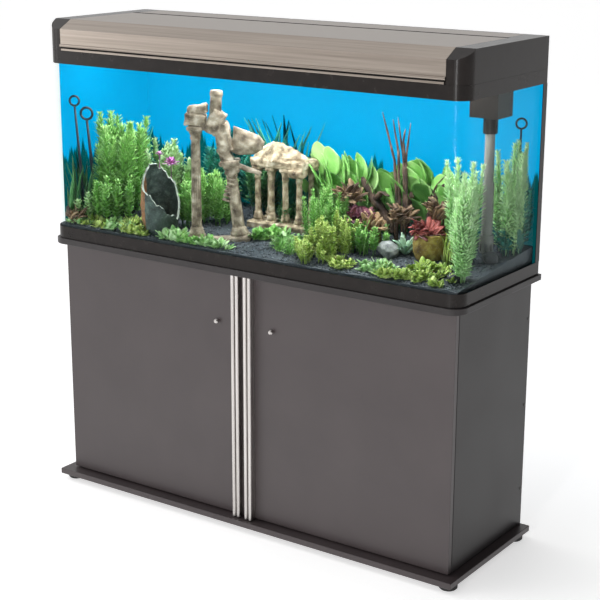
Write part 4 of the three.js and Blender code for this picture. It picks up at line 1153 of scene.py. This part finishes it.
fresh = toned("fresh_green", [(0.02, 0.10, 0.015), (0.18, 0.44, 0.08), (0.52, 0.78, 0.30)], clear=0.12)
pale = toned("pale_green", [(0.05, 0.18, 0.03), (0.34, 0.58, 0.22), (0.74, 0.90, 0.58)], clear=0.12)
deep = toned("deep_green", [(0.006, 0.035, 0.010), (0.035, 0.16, 0.045), (0.13, 0.36, 0.12)], clear=0.1)
# The feathery green is the palest. It is partly the right-hand plants' own colour and partly painted light,
# for the lamp light at the tank's right end.
feathery_lit = toned("feathery_lit_green", [(0.10, 0.28, 0.06), (0.48, 0.76, 0.34), (0.80, 0.96, 0.64)], clear=0.12)
teal = toned("teal_green", [(0.0, 0.045, 0.035), (0.008, 0.19, 0.14), (0.06, 0.44, 0.30)], clear=0.1)
lime = toned("lime_green", [(0.07, 0.14, 0.012), (0.34, 0.48, 0.08), (0.78, 0.86, 0.34)], clear=0.1)

# Each plant: its name, leaf, place, height, spread, stems, leaf size, gap between whorls, leaves in a
# whorl, seed and finish.
bushes = [
    ("left_bush", needle, -0.520, -0.015, 0.290, 0.100, 30, 0.024, 0.0098, 6, 101, fresh),
    ("left_mid_bush", oval, -0.440, 0.062, 0.215, 0.062, 15, 0.021, 0.0100, 4, 102, pale),
    ("second_mid_bush", oval, -0.388, 0.068, 0.175, 0.055, 13, 0.021, 0.0100, 4, 103, pale),
    ("third_mid_bush", oval, -0.333, 0.062, 0.130, 0.060, 15, 0.016, 0.0085, 5, 104, fresh),
    ("left_low_bush", oval, -0.478, -0.085, 0.138, 0.090, 26, 0.016, 0.0088, 5, 105, fresh),
    ("left_front_bush", oval, -0.548, -0.110, 0.100, 0.060, 18, 0.014, 0.0080, 5, 106, pale),
    ("centre_bush", needle, -0.212, 0.010, 0.165, 0.075, 22, 0.017, 0.0085, 5, 107, fresh),
    ("left_of_ruin_bush", oval, -0.265, -0.040, 0.125, 0.060, 17, 0.015, 0.0080, 5, 116, fresh),
    ("behind_ruin_bush", oval, -0.150, 0.135, 0.165, 0.080, 16, 0.019, 0.0100, 4, 108, deep),
    ("temple_rear_bush", needle, -0.035, 0.135, 0.145, 0.095, 22, 0.019, 0.0095, 5, 117, teal),
    ("temple_inner_bush", oval, -0.025, 0.060, 0.075, 0.060, 14, 0.013, 0.0075, 5, 118, deep),
    ("temple_right_bush", needle, 0.125, -0.005, 0.155, 0.085, 26, 0.013, 0.0072, 6, 109, fresh),
    ("middle_low_bush", oval, 0.195, -0.075, 0.112, 0.095, 34, 0.011, 0.0066, 5, 110, lime),
    ("middle_front_bush", oval, 0.180, -0.130, 0.062, 0.090, 34, 0.010, 0.0060, 5, 119, lime),
    ("wood_foot_bush", oval, 0.275, -0.020, 0.085, 0.070, 18, 0.013, 0.0075, 5, 120, fresh),
    ("right_tall_plant", needle, 0.566, -0.116, 0.285, 0.024, 9, 0.019, 0.0082, 7, 111, feathery_lit),
    ("rear_right_plant", needle, 0.566, 0.112, 0.310, 0.042, 14, 0.019, 0.0082, 7, 112, feathery_lit),
    ("inner_right_plant", needle, 0.508, -0.004, 0.285, 0.030, 9, 0.018, 0.0082, 6, 113, feathery_lit),
    ("teal_corner_plant", oval, 0.567, 0.150, 0.175, 0.040, 16, 0.019, 0.0090, 5, 114, teal),
    ("teal_low_plant", oval, 0.572, 0.105, 0.075, 0.045, 16, 0.016, 0.0080, 5, 121, teal),
    ("teal_rear_plant", oval, -0.290, 0.150, 0.215, 0.080, 15, 0.021, 0.0105, 4, 115, teal),
    ("deep_left_plant", oval, -0.565, 0.020, 0.190, 0.050, 14, 0.021, 0.0105, 4, 122, deep),
]
for name, leaf, x, y, height, spread, stems, size, spacing, per_whorl, seed, green in bushes:
    items = stemmed_plant(leaf, x, y, height, spread, stems, size, spacing, per_whorl, seed)
    gather(name, items, green)

# ---- Low weeds
# Low clumps of small soft leaves along the front pane and round the ruins. Each is one piece of several
# rosettes.
blade = grown(
    "grass_blade",
    4,
    [
        (0, 0, 0, 0.030, 0.012),
        (0, 0.02, 0.4, 0.036, 0.010),
        (0, 0.08, 0.75, 0.026, 0.008),
        (0, 0.17, 1.0, 0.004, 0.004),
    ],
)


def tuft(leaf, x, y, count, size, seed, lean=(0.2, 1.1), lift=0.0):
    """A low rosette of leaves from one point."""
    rand = random.Random(seed)
    items = []
    for _ in range(count):
        s = size * rand.uniform(0.55, 1.1)
        r = size * 0.25 * rand.random()
        a = rand.uniform(0, full_turn)
        at = put(x + r * math.cos(a), y + r * math.sin(a), gravel_height(y) - 0.003 + lift, a, 0)
        items.append((leaf, at @ Matrix.Rotation(-rand.uniform(*lean), 4, "X") @ sized(s), rand.random()))
    return items


# Each weed: its name, place, rosettes, leaf size, leaf, finish and seed.
rosettes = [
    ("left_front_weed", -0.545, -0.160, 11, 0.026, oval, pale, 201),
    ("second_front_weed", -0.480, -0.152, 12, 0.024, oval, lime, 202),
    ("third_front_weed", -0.415, -0.150, 12, 0.027, oval, pale, 203),
    ("jar_front_weed", -0.350, -0.162, 13, 0.026, oval, lime, 204),
    ("jar_side_weed", -0.400, -0.110, 9, 0.030, oval, lime, 213),
    ("ruin_left_weed", -0.235, -0.160, 13, 0.027, oval, pale, 205),
    ("ruin_front_weed", -0.160, -0.172, 11, 0.024, oval, fresh, 206),
    ("ruin_right_weed", -0.090, -0.170, 10, 0.024, oval, pale, 214),
    ("temple_front_weed", -0.005, -0.045, 15, 0.030, oval, fresh, 207),
    ("temple_corner_weed", 0.062, -0.060, 12, 0.030, oval, pale, 215),
    ("middle_weed", 0.080, -0.115, 15, 0.034, blade, fresh, 208),
    ("middle_right_weed", 0.262, -0.135, 14, 0.022, oval, lime, 209),
    ("stone_weed", 0.355, -0.130, 14, 0.027, oval, pale, 210),
    ("stone_front_weed", 0.405, -0.160, 13, 0.027, oval, lime, 216),
    ("right_front_weed", 0.455, -0.135, 16, 0.026, oval, lime, 211),
    ("pot_side_weed", 0.475, -0.085, 12, 0.026, oval, lime, 217),
    ("corner_weed", 0.515, -0.150, 11, 0.022, oval, lime, 212),
]
for name, x, y, tufts, size, leaf, green, seed in rosettes:
    rand = random.Random(seed)
    items = []
    for k in range(tufts):
        tx = min(max(x + rand.uniform(-0.042, 0.042), -0.575), 0.56)
        ty = min(max(y + rand.uniform(-0.026, 0.026), -0.166), 0.15)
        items += tuft(leaf, tx, ty, 15, size * rand.uniform(0.7, 1.2), seed * 31 + k)
    gather(name, items, green)

# ---- Grasses
# Tufts of narrow upright blades, moulded in one piece. They stand behind the ruins, in the left corners and
# among the low plants on the right.
# Each grass: its name, place, blades, length, finish and seed.
grasses = [
    ("left_tall_grass", -0.560, -0.125, 30, 0.165, deep, 301),
    ("left_rear_grass", -0.560, 0.080, 30, 0.205, teal, 302),
    ("middle_rear_grass", -0.120, 0.165, 60, 0.235, teal, 303),
    ("right_grass", 0.235, -0.050, 36, 0.085, fresh, 304),
    ("far_right_grass", 0.490, -0.020, 30, 0.075, lime, 305),
    ("striped_grass", 0.392, -0.155, 30, 0.038, pale, 306),
]
for name, x, y, count, size, green, seed in grasses:
    items = []
    rand = random.Random(seed)
    for k in range(4):
        tx = min(max(x + rand.uniform(-0.03, 0.03), -0.577), 0.57)
        ty = min(max(y + rand.uniform(-0.02, 0.02), -0.165), 0.165)
        items += tuft(blade, tx, ty, count // 4, size, seed * 17 + k, lean=(0.02, 0.22))
    gather(name, items, green)
put_away(needle, oval, blade)

# ---- Broad-leaved plants
# A row of large plastic leaves along the back right, each with a cupped blade and a stalk.
# One leaf is modelled and copied, and a plant's later leaves stand taller than its first.
broad_leaf = grown(
    "broad_leaf",
    8,
    [
        (0, 0, 0, 0.020, 0.016),
        (0, 0.00, 0.08, 0.13, 0.014),
        (0, 0.02, 0.22, 0.32, 0.014),
        (0, 0.04, 0.42, 0.40, 0.013),
        (0, 0.05, 0.62, 0.39, 0.012),
        (0, 0.04, 0.80, 0.30, 0.011),
        (0, 0.01, 0.93, 0.16, 0.009),
        (0, -0.02, 1.0, 0.02, 0.006),
    ],
)
broad_green = toned(
    "broad_leaf_green",
    [(0.04, 0.18, 0.025), (0.26, 0.54, 0.14), (0.54, 0.80, 0.34)],
    rough=(0.35, 0.5),
    scale=24,
    clear=0.15,
)
leaves_per_crown = 22
# Each crown: its name, place, height and seed.
crowns = [
    ("broad_plant_1", 0.020, 0.125, 0.215, 401),
    ("broad_plant_2", 0.085, 0.115, 0.200, 402),
    ("broad_plant_3", 0.150, 0.120, 0.205, 403),
    ("broad_plant_4", 0.215, 0.140, 0.185, 404),
    ("broad_plant_5", 0.300, 0.150, 0.215, 405),
    ("broad_plant_6", 0.365, 0.140, 0.190, 406),
    ("broad_plant_7", 0.425, 0.120, 0.175, 407),
]
for name, x, y, height, seed in crowns:
    rand = random.Random(seed)
    items = []
    foot = root_height(y)
    for k in range(leaves_per_crown):
        a = rand.uniform(-2.6, -0.5)
        tilt = rand.uniform(0.05, 0.30)
        tall = height * (0.38 + 0.62 * (k + 1) / leaves_per_crown)
        size = rand.uniform(0.062, 0.100)
        side = rand.uniform(-0.034, 0.034)
        stalk_at = put(x + side, y + rand.uniform(-0.01, 0.02), foot, a, tilt)
        stalk = max(tall - size, 0.01)
        items.append((stem, stalk_at @ Matrix.Diagonal((0.0013, 0.0013, stalk + 0.004, 1)), 0.2))
        face = Matrix.Rotation(rand.uniform(-0.7, 0.7) - a - 0.5, 4, "Z")
        face = face @ Matrix.Rotation(rand.uniform(-0.25, 0.45), 4, "X")
        items.append(
            (broad_leaf, stalk_at @ Matrix.Translation((0, 0, stalk)) @ face @ sized(size), rand.random())
        )
    gather(name, items, broad_green)
put_away(broad_leaf)

# ---- Looped stems
# Thin dark plastic stems that end in a ring, two in the left corner and one at the back right. The ring and
# its stalk are one moulding.
dark_stem = toned(
    "dark_stem", [(0.004, 0.008, 0.014), (0.012, 0.020, 0.034), (0.05, 0.06, 0.07)], rough=(0.4, 0.55)
)
loops = [
    ("first_looped_stem", -0.584, -0.121, 1.043, 0.0125, 0.0046),
    ("second_looped_stem", -0.583, -0.078, 1.008, 0.0155, 0.0052),
    ("right_looped_stem", 0.556, 0.168, 1.052, 0.0120, 0.0040),
]
for name, x, y, top, radius, thick in loops:
    foot = root_height(y)
    clear_selection()
    bpy.ops.mesh.primitive_torus_add(
        major_radius=radius, minor_radius=thick * 0.62, major_segments=32, minor_segments=10
    )
    bpy.ops.object.shade_smooth()
    ring = bpy.context.object
    ring.data.transform(
        Matrix.Translation(
            (x, y, top - radius)
        ) @ Matrix.Rotation(0.5, 4, "Z") @ Matrix.Rotation(math.pi / 2, 4, "X")
    )
    lean_x = 0.012 if x < 0 else -0.004
    stalk = grown(
        name + "_stalk",
        8,
        [
            (x + lean_x, y + 0.010, foot, thick, thick),
            (x + lean_x * 0.6, y + 0.005, (foot + top) / 2, thick * 0.8, thick * 0.8),
            (x, y, top - 2 * radius, thick * 0.6, thick * 0.6),
        ],
    )
    united(name, [stalk, ring], dark_stem, "plant_plastic")

# ---- Pink flower
# Two small blooms of soft pink plastic petals on thin stems, by the jar. The petals open wider from the
# heart out.
petal = grown(
    "petal",
    4,
    [(0, 0, 0, 0.08, 0.05), (0, 0.05, 0.4, 0.24, 0.04), (0, 0.2, 0.85, 0.2, 0.03), (0, 0.3, 1.0, 0.04, 0.02)],
)
pink = toned("pink_petals", [(0.20, 0.03, 0.17), (0.50, 0.14, 0.42), (0.80, 0.45, 0.72)], clear=0.1)
golden_turn = 2.4
blooms = [(-0.372, 0.010, 0.868, 26, 0.021, 0.0), (-0.420, 0.020, 0.886, 14, 0.013, 0.4)]
rand = random.Random(501)
flower = []
for x, y, z, petals, size, palest in blooms:
    for k in range(petals):
        s = size * rand.uniform(0.7, 1.1)
        opened = Matrix.Rotation(-(0.2 + 1.2 * k / petals), 4, "X")
        tone = palest + (1 - palest) * rand.random()
        flower.append((petal, put(x, y, z, k * golden_turn) @ opened @ sized(s), tone))
    foot = root_height(y)
    flower.append(
        (stem, Matrix.Translation((x, y, foot)) @ Matrix.Diagonal((0.0014, 0.0014, z - foot, 1)), 0.1)
    )
gather("pink_flower", flower, pink)
put_away(petal)

# ---- Coral and agave
# Soft corals of blunt arms in red, purple, brown and tan, two of them growing out of the ochre pot, and a
# mint agave beside it. Each is one piece, copied from one arm.
coral_arm = grown(
    "coral_arm",
    6,
    [
        (0, 0, 0, 0.10, 0.07),
        (0, 0.03, 0.3, 0.15, 0.06),
        (0, 0.09, 0.62, 0.20, 0.055),
        (0, 0.2, 0.88, 0.15, 0.05),
        (0, 0.3, 1.0, 0.06, 0.04),
    ],
)
red = toned("red_coral", [(0.035, 0.006, 0.008), (0.20, 0.025, 0.022), (0.48, 0.12, 0.10)], rough=(0.5, 0.7))
brown = toned("brown_coral", [(0.03, 0.016, 0.010), (0.13, 0.07, 0.04), (0.36, 0.24, 0.13)], rough=(0.6, 0.8))
purple = toned(
    "purple_coral", [(0.03, 0.008, 0.015), (0.14, 0.03, 0.055), (0.36, 0.13, 0.17)], rough=(0.5, 0.7)
)
tan = toned("tan_coral", [(0.09, 0.045, 0.02), (0.30, 0.18, 0.09), (0.62, 0.46, 0.28)], rough=(0.6, 0.8))
# Each coral: its name, place, arms, their length, least and most lean, spread, finish and seed.
clusters = [
    ("red_coral", pot_middle.x - 0.004, -0.006, pot_high.z - 0.004, 96, 0.038, (0.1, 1.45), 0.028, red, 511),
    ("brown_coral", pot_middle.x + 0.002, 0.034, pot_high.z + 0.03, 40, 0.048, (0.0, 0.9), 0.018, brown, 512),
    ("left_brown_coral", 0.170, 0.040, 0.830, 54, 0.050, (0.0, 1.2), 0.024, brown, 513),
    ("left_red_coral", 0.212, 0.010, 0.795, 60, 0.040, (0.2, 1.4), 0.026, purple, 514),
    ("middle_tan_coral", 0.262, 0.000, 0.780, 46, 0.042, (0.0, 1.3), 0.024, tan, 516),
    ("back_tan_coral", 0.315, 0.035, 0.800, 46, 0.046, (0.0, 1.1), 0.022, brown, 517),
    ("rust_fan", -0.560, -0.160, 0.722, 26, 0.046, (0.1, 0.9), 0.012, brown, 515),
]
for name, x, y, z, count, size, lean, spread, colour, seed in clusters:
    rand = random.Random(seed)
    items = []
    for _ in range(count):
        a = rand.uniform(0, full_turn)
        r = spread * math.sqrt(rand.random())
        s = size * rand.uniform(0.6, 1.1)
        at = put(x + r * math.cos(a), y + r * math.sin(a), z, a, 0)
        items.append(
            (coral_arm, at @ Matrix.Rotation(-rand.uniform(*lean), 4, "X") @ sized(s), rand.random())
        )
    for k in range(5):
        foot = root_height(y)
        sx, sy = x + rand.uniform(-0.5, 0.5) * spread, y + rand.uniform(-0.5, 0.5) * spread
        items.append(
            (
                stem,
                Matrix.Translation((sx, sy, foot)) @ Matrix.Diagonal((0.004, 0.004, z + 0.006 - foot, 1)),
                0.15,
            )
        )
    gather(name, items, colour)
mint = toned("mint_agave", [(0.10, 0.25, 0.15), (0.32, 0.52, 0.36), (0.66, 0.82, 0.66)], clear=0.1)
agave = []
rand = random.Random(521)
for k in range(22):
    s = 0.052 * rand.uniform(0.6, 1.1)
    at = put(0.352, -0.002, gravel_height(0.0) - 0.003, k * golden_turn)
    agave.append(
        (
            coral_arm,
            at @ Matrix.Rotation(-(0.1 + 0.9 * k / 22), 4, "X") @ Matrix.Diagonal((s * 0.6, s, s, 1)),
            rand.random(),
        )
    )
gather("mint_agave", agave, mint)
put_away(coral_arm, stem)

# ---- Screw caps
# Small round plastic caps, pressed in over the fixings of the back panel. Three sit near the rear edge of
# each side panel.
cap_plastic = finish(
    "cap_plastic", [(0.045, 0.040, 0.040), (0.06, 0.053, 0.053)], 200, rough=(0.4, 0.5), bump=0.1, fine=3
)
cap_rows = turned((-0.0004, 0.0042), (0.0005, 0.0042), (0.0011, 0.0034), (0.0013, 0.0018))
for side, sx in (("left", -1), ("right", 1)):
    panel_low, panel_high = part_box(f"{side}_side_panel")
    face_x = panel_high.x if sx > 0 else panel_low.x
    for level, z in (("upper", 0.567), ("middle", 0.347), ("lower", 0.127)):
        cap = grown(f"{side}_{level}_screw_cap", 20, cap_rows)
        cap.data.transform(Matrix.Translation((face_x, 0.190, z)) @ Matrix.Rotation(sx * math.pi / 2, 4, "Y"))
        united(cap.name, [cap], cap_plastic, "dark_plastic")
